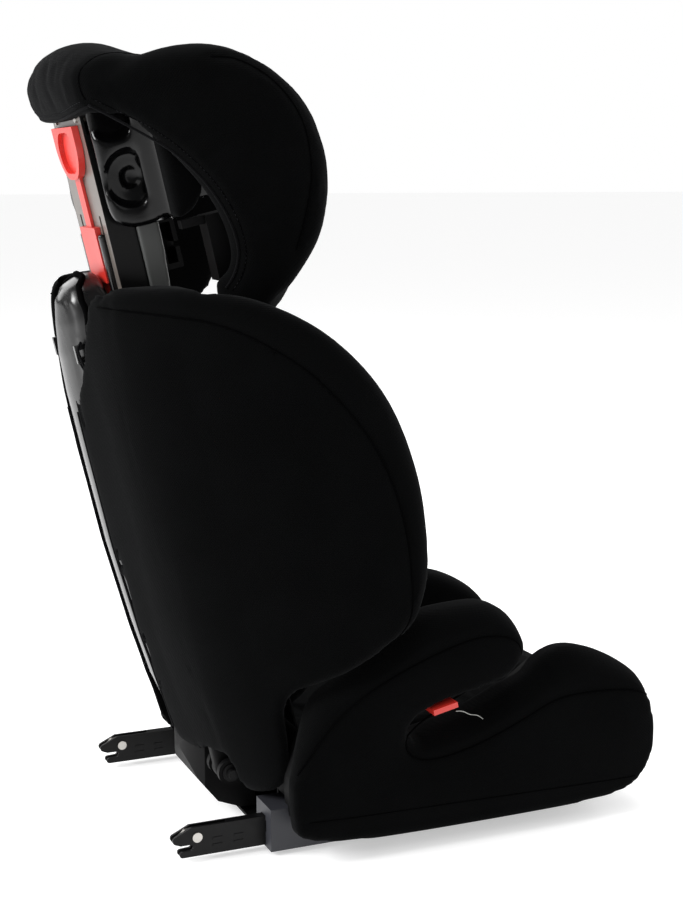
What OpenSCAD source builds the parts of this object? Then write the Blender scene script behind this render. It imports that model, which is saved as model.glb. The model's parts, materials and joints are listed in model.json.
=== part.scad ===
// High-back booster seat: padded base on two sliding anchor arms, a reclining
// backrest with deep side wings, and a headrest that slides on a mast.
// Frame: X across the seat, -Y is the front of the seat, +Z up. The origin is on
// the resting plane, below the middle of the base. Millimetres.

/* [Base] */
// Outer width of the padded base
base_w = 416; // [410:1:420]
// Length of the plastic tray that the seat rests on
tray_l = 358; // [340:2:358]
// Height of the seat pan plate under the cushion
pan_z = 86; // [84:1:88]
// Thickness of the padded fabric over the plastic
cover_t = 8; // [7:0.5:9]

/* [Backrest] */
// Lean of the backrest behind the vertical, in degrees
back_tilt = 13; // [12:0.5:14]
// Outer width over the side wings
back_w = 430; // [426:1:434]
// Inner width between the side wings
back_inner_w = 330; // [326:1:334]
// Height of the recline pivot above the resting plane
pivot_z = 70; // [69:0.5:71]
// Distance of the recline pivot behind the origin
pivot_y = 235; // [234:0.5:236]
// Radius of the steel recline rod
pivot_r = 5; // [4.5:0.5:5.5]
// Width of the arched rear panel between the two cover edges
panel_w = 84; // [82:1:86]

/* [Headrest] */
// Outer width over the headrest wings
head_w = 300; // [296:1:304]
// Width of the mast
mast_w = 112; // [110:1:114]
// Travel of the red release handle
handle_travel = 10; // [8:1:10]

/* [Anchor arms] */
// Distance between the two anchor arms
anchor_pitch = 280; // [280:1:280]
// Radius of the jaw that takes the 6 mm anchor bar
jaw_r = 3.1; // [3.1:0.05:3.2]
// How far the jaw tips reach behind the origin
arm_tip_y = 310; // [306:1:312]
// Length of each steel arm
arm_l = 215; // [210:1:218]

/* [Hidden] */
$fn = 48;
gap = 0.3;            // clearance between neighbouring fixed pieces
run_gap = 0.05;       // radial clearance of a turning fit
wall = 3;             // wall of the moulded shells
steel = 3;            // thickness of the anchor arm cheeks
black = "#141416";
fabric = "#101012";
red = "#d8352c";
steel_grey = "#9a9a9a";

// ---------------------------------------------------------------- helpers

// Catmull-Rom point between p1 and p2
function cr(p0, p1, p2, p3, t) =
    0.5 * (2 * p1 + t * (p2 - p0)
    + t * t * (2 * p0 - 5 * p1 + 4 * p2 - p3)
    + t * t * t * (3 * p1 - 3 * p2 + p3 - p0));

// Smooth open curve through the points of p
function curve(p, n = 5) = [
    for (i = [0 : len(p) - 2]) for (k = [0 : n - 1])
        cr(p[max(i - 1, 0)], p[i], p[i + 1], p[min(i + 2, len(p) - 1)], k / n),
    p[len(p) - 1]
];

function arc(c, r, a0, a1, n = 10) =
    [for (k = [0 : n]) c + r * [cos(a0 + (a1 - a0) * k / n), sin(a0 + (a1 - a0) * k / n)]];

// A side profile drawn in (Y, Z), as a slab between two X planes
module slab(x0, x1) {
    translate([x0, 0, 0]) rotate([90, 0, 90]) linear_extrude(x1 - x0) children();
}

module inset(d) { offset(delta = -d) children(); }

module on_right() { mirror([1, 0, 0]) children(); }

module both() { children(); on_right() children(); }

// A box from its lowest to its highest corner
module block(lo, hi) { translate(lo) cube(hi - lo); }

// A cylinder along X, centred on (y, z)
module rod_x(x0, x1, y, z, r) { translate([x0, y, z]) rotate([0, 90, 0]) cylinder(r = r, h = x1 - x0); }

// A cylinder along Y, centred on (x, z)
module rod_y(y0, y1, x, z, r) { translate([x, y0, z]) rotate([-90, 0, 0]) cylinder(r = r, h = y1 - y0); }

// Backrest frame: origin on the recline rod, +Y to the rear, +Z up along the back
module on_back() { translate([0, pivot_y, pivot_z]) rotate([-back_tilt, 0, 0]) children(); }

// A coil of round wire along +Z, as one closed mesh
module coil(r, wire, length, turns, sides = 6, steps = 12) {
    n = turns * steps;
    ring = function (i) [
        for (s = [0 : sides - 1]) let (a = 360 * i / steps, b = 360 * s / sides)
            [(r + wire * cos(b)) * cos(a), (r + wire * cos(b)) * sin(a),
             wire + (length - 2 * wire) * i / n + wire * sin(b)]
    ];
    points = [for (i = [0 : n]) each ring(i)];
    faces = concat(
        [[for (s = [0 : sides - 1]) s]],
        [for (i = [0 : n - 1]) for (s = [0 : sides - 1]) let (t = (s + 1) % sides)
            [i * sides + s, (i + 1) * sides + s, (i + 1) * sides + t, i * sides + t]],
        [[for (s = [sides - 1 : -1 : 0]) n * sides + s]]
    );
    polyhedron(points = points, faces = faces, convexity = 8);
}

// ---------------------------------------------------------------- base outlines, in (Y, Z)

side_x = base_w / 2;         // outer face of the side panel
inner_x = 150;               // inner face of the armrests
crown_x = side_x - 8;        // where the armrest and thigh tops round over
core_x0 = inner_x + cover_t; // plastic inside the padding
core_x1 = side_x - cover_t - 16;

base_underside = curve([[207, 84], [205, 50], [196, 30], [150, 22], [72, 20], [-46, 20], [-140, 24],
                        [-180, 34], [-199, 62], [-203, 92], [-196, 124]]);

// Side panel: rises to the piped seam, with the lap belt gap cut into it
side_panel = concat(base_underside,
    curve([[-196, 124], [-178, 134], [-132, 139], [-84, 136], [-38, 117], [7, 101], [45, 93], [72, 94],
           [87, 108], [80, 130], [52, 148], [8, 157], [-28, 168], [-42, 188], [-32, 206], [3, 212],
           [42, 204], [85, 189], [128, 169], [162, 145], [190, 112], [207, 84]]));

// Crown of the armrest and the thigh bolster, inside the seam
crown = concat(base_underside,
    curve([[-196, 124], [-182, 148], [-147, 173], [-109, 185], [-76, 179], [-45, 158], [0, 134],
           [40, 122], [68, 116], [82, 126], [76, 138], [50, 150], [8, 158], [-28, 169], [-50, 190],
           [-40, 219], [-14, 237], [20, 240], [66, 233], [105, 205], [142, 180], [175, 158],
           [195, 122], [207, 84]]));

module side_outline() { polygon(side_panel); }
module crown_outline() { polygon(crown); }

// Padded volume of one side of the base
module side_volume() {
    slab(crown_x, side_x) side_outline();
    slab(inner_x, crown_x) crown_outline();
}

module side_core() { slab(core_x0, core_x1) inset(cover_t) crown_outline(); }

// ---------------------------------------------------------------- base

lug_x = [64, 96];            // inner faces of the rod lugs
lug_t = 7;
guide_x = anchor_pitch / 2;
arm_z0 = 6;
arm_z1 = 36;

module rod_lug(x) {
    difference() {
        union() {
            rod_x(x, x + lug_t, pivot_y, pivot_z, 13);
            block([x, 191, pivot_z - 13], [x + lug_t, pivot_y, pivot_z + 13]);
        }
        rod_x(x - 1, x + lug_t + 1, pivot_y, pivot_z, pivot_r + run_gap);
    }
}

housing_x = 48;
bulge_r = 90;                // the housing bulges to the rear across its width

// Rounded housing that stands behind the base, around the middle of the recline rod
module housing_volume(d) {
    profile = concat([[190, pan_z - 2]], arc([pivot_y, pivot_z], 24, 100, -18, 16),
        [[250, 42], [231, 18], [206, 8], [190, 8]]);
    intersection() {
        slab(-housing_x + d, housing_x - d) inset(d) polygon(profile);
        translate([0, pivot_y + 24 - bulge_r, 0]) cylinder(r = bulge_r - d, h = 120);
    }
}

module hinge_housing() {
    difference() {
        housing_volume(0);
        housing_volume(wall);
        rod_x(-61, 61, pivot_y, pivot_z, pivot_r + run_gap);
    }
}

module base_shell() {
    color(black) {
        hinge_housing();
        both() {
            difference() {
                union() {
                    // outer side plate and the flange that carries the padding
                    slab(core_x1 - wall, core_x1) inset(cover_t) crown_outline();
                    slab(core_x0, core_x1) difference() {
                        inset(cover_t) crown_outline();
                        inset(cover_t + wall) crown_outline();
                    }
                }
                block([core_x0 - 1, 60, 0], [guide_x + 24, 240, 52]);
            }
            for (x = lug_x) rod_lug(x);
            // foot rib from the pan plate down to the tray
            difference() {
                block([104, -150, 8], [108, 186, pan_z]);
                block([100, -40, 0], [110, 150, 50]);
            }
        }
        // pan plate, front wall, rear wall and the cross rib
        block([-core_x0, -184, pan_z], [core_x0, 190, pan_z + wall]);
        block([-core_x0, -184, 34], [core_x0, -180, pan_z]);
        block([-core_x0, 187, 52], [core_x0, 191, pan_z]);
        for (y = [-120, -70]) block([-104, y, 44], [104, y + wall, pan_z]);
        screw_bosses();
    }
}

screw_spots = [[-74, -130], [74, -130], [-74, 160], [74, 160]];

module screw_bosses() {
    for (p = screw_spots) difference() {
        translate([p[0], p[1], 8]) cylinder(r = 5, h = pan_z - 8);
        translate([p[0], p[1], 7]) cylinder(r = 1.8, h = 20);
    }
}

module base_tray() {
    color(black) difference() {
        union() {
            block([-92, -155, 0], [92, tray_l - 155, 3]);
            for (x = [-92, 89]) block([x, -155, 3], [x + 3, tray_l - 155, 10]);
            for (x = [-60, 57]) block([x, -100, 3], [x + 3, 60, 6]);
            both() lever_ear();
        }
        for (p = screw_spots) {
            translate([p[0], p[1], -1]) cylinder(r = 2.4, h = 6);
            translate([p[0], p[1], -1]) cylinder(r = 4.2, h = 2.2);
        }
    }
}

module base_screws() {
    color(steel_grey) for (p = screw_spots) {
        translate([p[0], p[1], 1.4]) cylinder(r = 1.7, h = 22);
        translate([p[0], p[1], 0.4]) cylinder(r = 3.6, h = 0.8);
        translate([p[0], p[1], 1.1]) cylinder(r = 1.7, h = 0.5);
    }
}

module base_cover() {
    color(fabric) both() difference() {
        side_volume();
        slab(core_x0 - gap, core_x1 + gap) inset(cover_t - gap) crown_outline();
        // open underneath, clear of the pan, the lugs and the anchor guide
        block([inner_x - 1, -190, 0], [core_x1, 197, pan_z + wall + gap]);
        block([inner_x - 1, 60, 0], [guide_x + 24, 240, 52]);
        lap_belt_cut();
    }
}

module seat_cushion() {
    top = curve([[170, 118], [120, 116], [20, 120], [-70, 134], [-130, 146], [-170, 140], [-192, 122]]);
    color(fabric) slab(-inner_x + 2, inner_x - 2)
        polygon(concat(top, [[-196, 100], [-192, pan_z + wall + gap], [170, pan_z + wall + gap]]));
}

module side_foam() {
    color("#3a3a3c") slab(core_x0 + 1, core_x1 - wall - 1) difference() {
        inset(cover_t + wall + 1) crown_outline();
        translate([-220, 0]) square([440, pan_z + wall + 1]);
    }
}

// Red strip under the armrest that marks where the lap belt goes
module lap_belt_guide() {
    color(red) slab(side_x - 30, side_x + 1)
        translate([46, 145.2]) rotate(-12) square([27, 5.5], center = true);
}

module lap_belt_cut() {
    slab(side_x - 31, side_x + 2)
        translate([46, 145.2]) rotate(-12) square([27.8, 6.3], center = true);
}

module recline_rod() { color(steel_grey) rod_x(-112, 112, pivot_y, pivot_z, pivot_r); }

// Spring clips that keep the rod in its lugs
module rod_clips() {
    color(steel_grey) both() difference() {
        rod_x(104, 105.5, pivot_y, pivot_z, pivot_r + 4);
        rod_x(103, 107, pivot_y, pivot_z, pivot_r + run_gap);
    }
}

// ---------------------------------------------------------------- anchor arms

arm_gap = 4.6;                       // room for the pawl between the cheeks
jaw_c = [arm_tip_y - 18, 15.5];      // centre of the anchor bar when it is latched
pawl_c = [arm_tip_y - 25, 25.5];     // pawl rivet
pawl_r = 3;
latch_angle = 42;                    // turn of a pawl from open to closed

arm_outline = concat(
    [[arm_tip_y - arm_l, arm_z0], [arm_tip_y - 10, arm_z0]],
    arc([arm_tip_y - 10, arm_z0 + 3], 3, -90, 90, 6),
    [[jaw_c[0], jaw_c[1] - jaw_r]],
    arc(jaw_c, jaw_r, 270, 90, 12),
    [[arm_tip_y - 8, jaw_c[1] + jaw_r]],
    arc([arm_tip_y - 4, 24.5], 4, -60, 60, 6),
    [[arm_tip_y - 19, arm_z1], [arm_tip_y - arm_l, arm_z1]]);

module cheek(x0) {
    difference() {
        slab(x0, x0 + steel) difference() {
            polygon(arm_outline);
            translate(jaw_c) circle(r = jaw_r);
        }
        rod_x(x0 - 1, x0 + steel + 1, pawl_c[0], pawl_c[1], pawl_r + run_gap);
    }
}

module anchor_arm() {
    x = guide_x;
    color(black) {
        cheek(x - arm_gap / 2 - steel);
        cheek(x + arm_gap / 2);
        // spacer welded between the cheeks
        block([x - arm_gap / 2, arm_tip_y - arm_l, arm_z0], [x + arm_gap / 2, arm_tip_y - 56, arm_z1]);
        // ledge that the pawl spring stands on
        block([x - arm_gap / 2, arm_tip_y - 57, arm_z0], [x + arm_gap / 2, arm_tip_y - 30, arm_z0 + 4]);
        // pressed stiffening bars on both faces
        for (side = [-1, 1]) for (y = [arm_tip_y - 46, arm_tip_y - 68]) for (z = [14.5, 21.5])
            translate([x + side * (arm_gap / 2 + steel + 0.3), y, z]) cube([0.6, 10, 2.6], center = true);
    }
}

function turn(p, a) = [for (q = p) [q[0] * cos(a) - q[1] * sin(a), q[0] * sin(a) + q[1] * cos(a)]];

// Pawl around its rivet, open. The nose is worked out from the closed position, where it hooks the bar.
pawl_nose = concat(arc(jaw_c - pawl_c, jaw_r + 0.6, 100, 0, 8),
    [[11.4, -11.6], [15, -11], [14, -2], [9, 3], [1, 6.1]]);
pawl_outline = concat([[-11, 3.5], [-11, -1.5]], arc([0, 0], 6.2, 237, 330, 8), turn(pawl_nose, latch_angle));

module latch_pawl() {
    x = guide_x;
    color(steel_grey) difference() {
        slab(x - 1.9, x + 1.9) translate(pawl_c) polygon(pawl_outline);
        rod_x(x - 3, x + 3, pawl_c[0], pawl_c[1], pawl_r + run_gap);
    }
}

module latch_rivet() {
    x = guide_x;
    half = arm_gap / 2 + steel;
    color("#c4c0ba") {
        rod_x(x - half - 0.2, x + half + 0.2, pawl_c[0], pawl_c[1], pawl_r);
        rod_x(x - half - 1.4, x - half - 0.1, pawl_c[0], pawl_c[1], 5);
        rod_x(x + half + 0.1, x + half + 1.4, pawl_c[0], pawl_c[1], 5);
    }
}

module latch_spring() {
    color(steel_grey) translate([guide_x, pawl_c[0] - 8.6, arm_z0 + 4.1]) coil(1.5, 0.35, 11, 6);
}

module anchor_guide() {
    x = guide_x;
    color("#22242c") difference() {
        block([x - 20, 110, 4.5], [x + 22, 214, 48]);
        block([x - 6.2, 100, 5.6], [x + 6.2, 220, 36.6]);
        block([x - 16, 114, 40], [x + 18, 180, 49]);
        // clearance for the rivet heads when the arms are pushed in
        block([x - 8, 196, 20], [x + 8, 220, 32]);
    }
}

module anchor_crossbar() {
    half = guide_x - arm_gap / 2 - steel - gap;
    color(black) difference() {
        block([-half, arm_tip_y - arm_l, 12], [half, arm_tip_y - arm_l + 12, 32]);
        block([-half + 20, arm_tip_y - arm_l + 3, 15], [half - 20, arm_tip_y - arm_l + 13, 29]);
    }
}

rack_pitch = 10;
rack_teeth = 12;
rack_y0 = -34;               // front end of the rack
tooth_y = -10;               // place of the lever's tooth

// Toothed bar under the crossbar that the release lever holds
module anchor_rack() {
    color(steel_grey) difference() {
        block([-9, rack_y0, 22], [9, arm_tip_y - arm_l - gap, 30]);
        for (k = [-2 : rack_teeth - 4])
            block([-10, tooth_y + k * rack_pitch - 2.5, 21], [10, tooth_y + k * rack_pitch + 2.5, 25.4]);
    }
}

lever_y = -60;               // lever pivot
lever_z = 13.5;

// Drawn released, with the tooth just below the rack
module anchor_release_lever() {
    color(red) {
        difference() {
            union() {
                block([-8, -160, 10], [8, -4, 17]);
                block([-7, tooth_y - 1.5, 16.9], [7, tooth_y + 1.5, 21.5]);
            }
            rod_x(-9, 9, lever_y, lever_z, 3 + run_gap);
        }
        // finger loop at the front
        difference() {
            block([-34, -186, 11], [34, -160, 19]);
            block([-27, -180, 10], [27, -167, 20]);
        }
    }
}

module lever_ear() {
    difference() {
        block([8.5, lever_y - 6, 2.9], [12, lever_y + 6, 20]);
        rod_x(8, 13, lever_y, lever_z, 3 + run_gap);
    }
}

module lever_pin() { color(steel_grey) rod_x(-14, 14, lever_y, lever_z, 3); }

module lever_spring() { color(steel_grey) translate([0, -30, 3.2]) coil(3.2, 0.6, 6.6, 3); }

// ---------------------------------------------------------------- backrest outlines, in backrest (Y, Z)

wing_x = back_w / 2;
wing_in = back_inner_w / 2;
wing_core0 = wing_in + 7;
wing_core1 = wing_x - 16;
plate_y = -66;               // front of the back plate
well_z = 408;                // top of the back plate, below the headrest well

wing_profile = concat(
    curve([[24, 504], [0, 508], [-22, 504], [-56, 494], [-114, 466], [-168, 418], [-208, 348], [-223, 264],
           [-215, 184], [-198, 142], [-180, 121], [-150, 111], [-112, 100], [-72, 97], [-51, 92],
           [-41, 80], [-35, 55], [-22, 34], [2, 20], [24, 22]]),
    curve([[24, 22], [34, 60], [40, 130], [46, 220], [48, 300], [46, 390], [40, 468], [24, 504]]));

module wing_outline() { polygon(wing_profile); }

// Half plan of the backrest in (X, Y): the wings narrow towards the rear panel
half_plan = concat([[0, -240], [wing_x - 6, -240]],
    curve([[wing_x - 6, -240], [wing_x, -195], [wing_x - 5, -140], [wing_x - 24, -84], [wing_x - 54, -34],
           [wing_x - 90, 10], [100, 25], [60, 34], [30, 41], [0, 45]], 4));

// Everything inside the padding of the backrest, d below its surface
module back_plan(d) {
    linear_extrude(560) offset(delta = -d) union() { polygon(half_plan); mirror([1, 0]) polygon(half_plan); }
}

module wing_volume() {
    slab(wing_in, wing_x - 10) wing_outline();
    slab(wing_x - 10, wing_x) inset(10) wing_outline();
}

hinge_x = 74;                // inner face of each hinge ear
hinge_t = 19;

module hinge_ear() {
    difference() {
        union() {
            rod_x(hinge_x, hinge_x + hinge_t, 0, 0, 12);
            block([hinge_x, -8, 0], [hinge_x + hinge_t, 12, 40]);
            block([hinge_x, plate_y + 1, 34], [hinge_x + hinge_t, 18, 42]);
            block([hinge_x, 12, 34], [hinge_x + hinge_t, 18, 64]);
        }
        rod_x(hinge_x - 1, hinge_x + hinge_t + 1, 0, 0, pivot_r + run_gap);
    }
}

back_screw_z = [100, 250, 400];
back_screw_x = panel_w / 2 + 8;
web_z = [120, 260, 396];

// Plastic side and rear wall that follows the plan inside the padding
module plan_wall() {
    intersection() {
        difference() {
            back_plan(11);
            back_plan(11 + wall);
        }
        slab(panel_w / 2 + 22, wing_x) inset(11) wing_outline();
        union() {
            translate([wing_core0, -300, 36]) cube([wing_x, 400, 444]);
            translate([0, plate_y, 36]) cube([wing_x, 160, 444]);
        }
    }
}

module back_shell() {
    color(black) on_back() difference() {
        union() {
            intersection() {
                union() {
                    block([-146, plate_y, 38], [146, plate_y + wall, well_z]);
                    both() {
                        block([146, plate_y, 86], [wing_in, plate_y + wall, well_z]);
                        slab(wing_in, wing_core1) intersection() {
                            inset(11) wing_outline();
                            translate([plate_y, 86]) square([wall, well_z - 86]);
                        }
                        // flange around each wing, and the cross webs
                        slab(wing_core0, wing_core1) difference() {
                            inset(11) wing_outline();
                            inset(11 + wall) wing_outline();
                        }
                        for (z = web_z) block([78, plate_y + wall, z], [wing_core1, 34, z + 3]);
                    }
                }
                back_plan(11);
            }
            both() {
                plan_wall();
                // screw strip beside the rear panel
                block([panel_w / 2 + 1, 14, 60], [82, 18, 430]);
                hinge_ear();
            }
        }
        both() for (z = back_screw_z) rod_y(13, 19, back_screw_x, z, 1.7);
    }
}

panel_top = 513;
panel_r = panel_w / 2;       // arched top of the rear panel

panel_side = concat([[-14, 34], [23, 34]],
    curve([[23, 34], [30, 60], [40, 150], [47, 280], [46, 380], [38, 470], [30, 496]]),
    arc([10, 489], 24, 20, 120, 10), [[-14, 492]]);

ridge_r = 58;                // the panel bulges to the rear across its width
ridge_y = -16;

module panel_face(d) {
    intersection() {
        slab_back(-60, 80) union() {
            translate([0, panel_top - panel_r]) circle(r = panel_r - d);
            translate([-panel_r + d, 34 + d]) square([panel_w - 2 * d, panel_top - panel_r - 34 - d]);
        }
        translate([0, ridge_y, 0]) cylinder(r = ridge_r - d, h = 560);
    }
}

// Rear panel: an arched housing behind the mast
module back_panel() {
    color(black) on_back() {
        difference() {
            intersection() {
                slab(-panel_r, panel_r) polygon(panel_side);
                panel_face(0);
            }
            intersection() {
                slab(-panel_r, panel_r) translate([-wall, 0]) polygon(panel_side);
                panel_face(wall);
            }
        }
        both() difference() {
            block([panel_r - 1, 10, 66], [panel_r + 16, 13.7, 430]);
            for (z = back_screw_z) rod_y(9, 15, back_screw_x, z, 1.7);
        }
    }
}

module back_screws() {
    color(steel_grey) on_back() both() for (z = back_screw_z) {
        rod_y(7.8, 17.8, back_screw_x, z, 1.5);
        rod_y(7.6, 9.8, back_screw_x, z, 3);
    }
}

module both_hook_room() { block([panel_r - 1, 12, 430], [panel_r + 8, 60, 456]); }

hinge_lobe = concat(curve([[-48, 60], [-49, 40], [-46, 14], [-39, -1], [-25, -12], [-8, -14], [5, -4],
                           [14, 12]]), [[22, 34], [0, 60]]);
slit_x = 18;                 // half width of the slit down the rear of the cover

module back_cover() {
    color(fabric) on_back() intersection() {
        both() difference() {
            union() {
                wing_volume();
                // lobe that hangs outside the hinge, behind the armrest
                slab(114, inner_x - 1) polygon(hinge_lobe);
                // padded rear, from the wing to the edge beside the slit
                slab(slit_x, 107) intersection() { wing_outline(); translate([18.4, 34]) square([60, 500]); }
                slab(107, wing_in) intersection() { wing_outline(); translate([-40, 0]) square([120, 560]); }
            }
            // room for the plastic shell
            intersection() {
                slab(slit_x - 1, wing_x) intersection() {
                    inset(11 - gap) wing_outline();
                    translate([plate_y - gap, 0]) square([200, 482]);
                }
                back_plan(11 - gap);
            }
            intersection() {
                slab(wing_core0 - gap, wing_x) inset(11 - gap) wing_outline();
                back_plan(11 - gap);
            }
            intersection() {
                slab(slit_x - 1, panel_r + gap) translate([gap, 0]) polygon(panel_side);
                panel_face(-gap);
            }
            // open at the bottom, around the hinge ears
            block([slit_x - 1, -70, 0], [125, 27, 100]);
            both_hook_room();
            // notch beside the arched panel
            slab_back(14, 80) polygon([[slit_x - 1, 530], [slit_x - 1, 404], [32, 406], [52, 432], [78, 480], [92, 530]]);
        }
        back_plan(0);
    }
}

cushion_profile = curve([[plate_y - gap, 405], [-80, 400], [-91, 374], [-94, 250], [-98, 130], [-94, 84],
                         [-80, 66], [plate_y - gap, 62]]);

// Narrower at the bottom, where it stands between the armrests
module back_cushion() {
    color(fabric) on_back() {
        slab(-146, 146) polygon(cushion_profile);
        both() slab(146, wing_in - 2) intersection() {
            polygon(cushion_profile);
            translate([-120, 112]) square([120, 400]);
        }
    }
}

module wing_foam() {
    color("#3a3a3c") on_back() intersection() {
        difference() {
            slab(wing_core0 + 1, wing_core1 - wall - 1) inset(11 + wall + 1) wing_outline();
            block([wing_in, plate_y - 1, 0], [wing_x, 60, 530]);
        }
        back_plan(11 + wall + 1);
    }
}

pin_y = -38;
pin_z = 395;
notch_pitch = 20;

// Toothed rail beside the mast
module mast_rail() {
    color("#2a2a2c") on_back() difference() {
        block([58, plate_y + wall + gap, 60], [72, -15, 416]);
        block([57, -60.5, 50], [60, -14, 430]);
        for (k = [0 : 6]) translate([59, -43, pin_z - k * notch_pitch - 4.5]) cube([7, 10, 9]);
    }
}

module cover_hook() {
    color(black) on_back() difference() {
        block([panel_r + gap, 20, 434], [panel_r + 6, 35, 452]);
        block([panel_r, 24, 440], [panel_r + 7, 32, 447]);
    }
}

// ---------------------------------------------------------------- headrest

head_x = head_w / 2;
head_bottom = 550;           // lower edge of the headrest shell
mast_y = -23;                // rear face of the mast

// Round wing of the headrest, in backrest (Y, Z)
head_wing = concat(
    curve([[-30, 662], [-58, 640], [-82, 614], [-102, 580], [-113, 542], [-113, 508], [-105, 480],
           [-104, 456], [-112, 442]]),
    curve([[-112, 442], [-130, 443], [-150, 457], [-174, 474], [-204, 508], [-223, 552], [-226, 590], [-218, 626],
           [-200, 656], [-172, 682], [-140, 698], [-104, 704], [-60, 704], [-30, 700]]),
    [[-30, 662]]);

module head_outline() { polygon(head_wing); }

// Plan of the headrest in (X, Y): narrow at the rear, flaring to the wings
module head_plan(d) {
    half = concat([[0, -240], [head_x - 4, -240]],
        curve([[head_x - 4, -240], [head_x, -190], [head_x - 6, -130], [head_x - 24, -74], [111, -40],
               [96, -17], [64, -6], [0, -1]], 4));
    linear_extrude(760) offset(delta = -d) union() { polygon(half); mirror([1, 0]) polygon(half); }
}

// Rear roll of the headrest cover, over the top of the mast
head_roll = concat(curve([[-12, 656], [-2, 688], [-9, 712], [-32, 727], [-60, 728], [-84, 717],
                          [-96, 704], [-98, 690]]),
                   [[-84, 672], [-60, 660], [-38, 656]]);

head_plate_y = -84;          // front plate of the headrest shell

// Plate from the front plate out into the padding of a wing
module wing_plate(d) {
    intersection() {
        union() {
            slab(120 - d, 123 + d) inset(12 - d) head_outline();
            slab(99, 120) intersection() {
                inset(12 - d) head_outline();
                translate([-118 - d, 500]) square([10 + 2 * d, 150 + d]);
            }
        }
        head_plan(8 - d);
    }
}

cheek_profile = concat(arc([-40, head_bottom + 14], 14, -90, 0, 5), [[-26, 690], [head_plate_y, 690]],
    [[head_plate_y, head_bottom]]);

module headrest_shell() {
    color(black) on_back() difference() {
        union() {
            block([-100, head_plate_y, head_bottom], [100, head_plate_y + 4, 690]);
            both() {
                block([82, head_plate_y, head_bottom - 12], [98, head_plate_y + 4, head_bottom + 1]);
                // side cheek with the moulded round recesses
                difference() {
                    slab(62, 78) polygon(cheek_profile);
                    rod_x(70, 80, -51, 596, 25);
                    rod_x(70, 80, -47, 662, 28);
                    rod_x(60, 80, -51, 596, 8);
                    block([61, head_plate_y + 4, head_bottom + 4], [66, -30, 680]);
                }
                // wing flange from the front plate to the padding
                block([97, -116, 560], [100, head_plate_y + 2, 650]);
                wing_plate(0);
            }
        }
        both() for (z = head_screw_z) rod_y(head_plate_y - 1, head_plate_y + 5, head_screw_x, z, 2.2);
    }
}

head_screw_x = 40;
head_screw_z = [660, 676];
cam_z = pin_z - 8;           // lower edge of the cam block on the slider
cam_h = 32;

module mast_slots() {
    // opening for the slider, and the two spring slots beside it
    block([-19, mast_y - 8, cam_z - handle_travel - 3], [19, mast_y + 1, cam_z + cam_h + 3]);
    block([-7, mast_y - 5, cam_z + cam_h + 2], [7, mast_y + 1, 572]);
    both() block([35, mast_y - 5, 470], [41, mast_y + 1, 566]);
    both() rod_x(50, 60, pin_y, pin_z, 4.4);
}

module headrest_mast() {
    half = mast_w / 2;
    color("#3c3835") on_back() difference() {
        union() {
            block([-half, mast_y - 3, 340], [half, mast_y, 686]);
            for (x = [-half, half - 3]) block([x, -58, 340], [x + 3, mast_y - 3, 644]);
            for (z = [346, 641]) block([-half, -58, z], [half, mast_y - 3, z + 3]);
            // seats for the headrest screws, and the upper stop of the spring
            both() for (z = head_screw_z)
                rod_y(head_plate_y + 4 + gap, mast_y - 2, head_screw_x, z, 5);
            block([-12, -46, 482], [12, mast_y - 2, 485]);
        }
        mast_slots();
        both() for (z = head_screw_z) rod_y(head_plate_y, mast_y + 1, head_screw_x, z, 2.2);
    }
}

module headrest_screws() {
    color(steel_grey) on_back() both() for (z = head_screw_z) {
        rod_y(head_plate_y - 0.2, mast_y + 1.8, head_screw_x, z, 2);
        rod_y(mast_y + 0.1, mast_y + 1.8, head_screw_x, z, 3.6);
    }
}

module headrest_cover() {
    color(fabric) on_back() difference() {
        union() {
            intersection() {
                both() {
                    slab(105, head_x - 8) head_outline();
                    slab(head_x - 8, head_x) inset(9) head_outline();
                }
                head_plan(0);
            }
            intersection() {
                slab(-106, 106) polygon(head_roll);
                head_plan(0);
            }
        }
        both() wing_plate(0.5);
        // room for the shell, the mast and the side foam
        block([-101, head_plate_y - 0.5, 540], [101, mast_y + 2.5, 691]);
        both() block([96, -117, 540], [101, head_plate_y, 652]);
        both() head_foam_shape(13);
        block([-43, mast_y - 1, 640], [43, mast_y + 8.5, 673]);
    }
}

module headrest_cushion() {
    color(fabric) on_back() slab(-95, 95) polygon(concat(
        curve([[head_plate_y - 0.5, 652], [-96, 652], [-108, 640], [-112, 618], [-109, 580], [-98, 558],
               [head_plate_y - 0.5, 554]])));
}

module head_foam_shape(d) {
    intersection() {
        slab(123 + d - 12.4, head_x - d + 3) inset(d) head_outline();
        head_plan(d - 4);
    }
}

module headrest_foam() { color("#3a3a3c") on_back() head_foam_shape(14); }

// Hook that the diagonal belt runs through
module shoulder_belt_guide() {
    color(black) on_back() difference() {
        union() {
            block([78, -128, 484], [102, -107, 548]);
            block([84, -108, 540], [96, head_plate_y - gap, 548]);
        }
        block([77, -123, 490], [98, -112, 534]);
        block([77, -129, 506], [99, -122, 512]);
    }
}

// ---------------------------------------------------------------- headrest release

// A face drawn in backrest (X, Z), as a slab between two Y planes
module slab_back(y0, y1) {
    translate([0, y1, 0]) rotate([90, 0, 0]) linear_extrude(y1 - y0) children();
}

// Slot with round ends from p to q
module slot(p, q, r) {
    v = q - p;
    translate(p) circle(r = r);
    translate(q) circle(r = r);
    translate(p) rotate(atan2(v[1], v[0])) translate([0, -r]) square([norm(v), 2 * r]);
}

module release_handle() {
    color(red) on_back() {
        difference() {
            slab_back(mast_y + 0.4, mast_y + 7) intersection() {
                union() {
                    slot([-7, 638], [7, 638], 35);
                    translate([-42, 638]) square([84, 24]);
                }
                translate([-50, 600]) square([100, 54]);
            }
            slab_back(mast_y + 2, mast_y + 9) slot([-10, 629], [10, 629], 20);
        }
        slab_back(mast_y + 0.4, mast_y + 3.4) translate([-10, 555]) square([20, 54]);
    }
}

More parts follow.
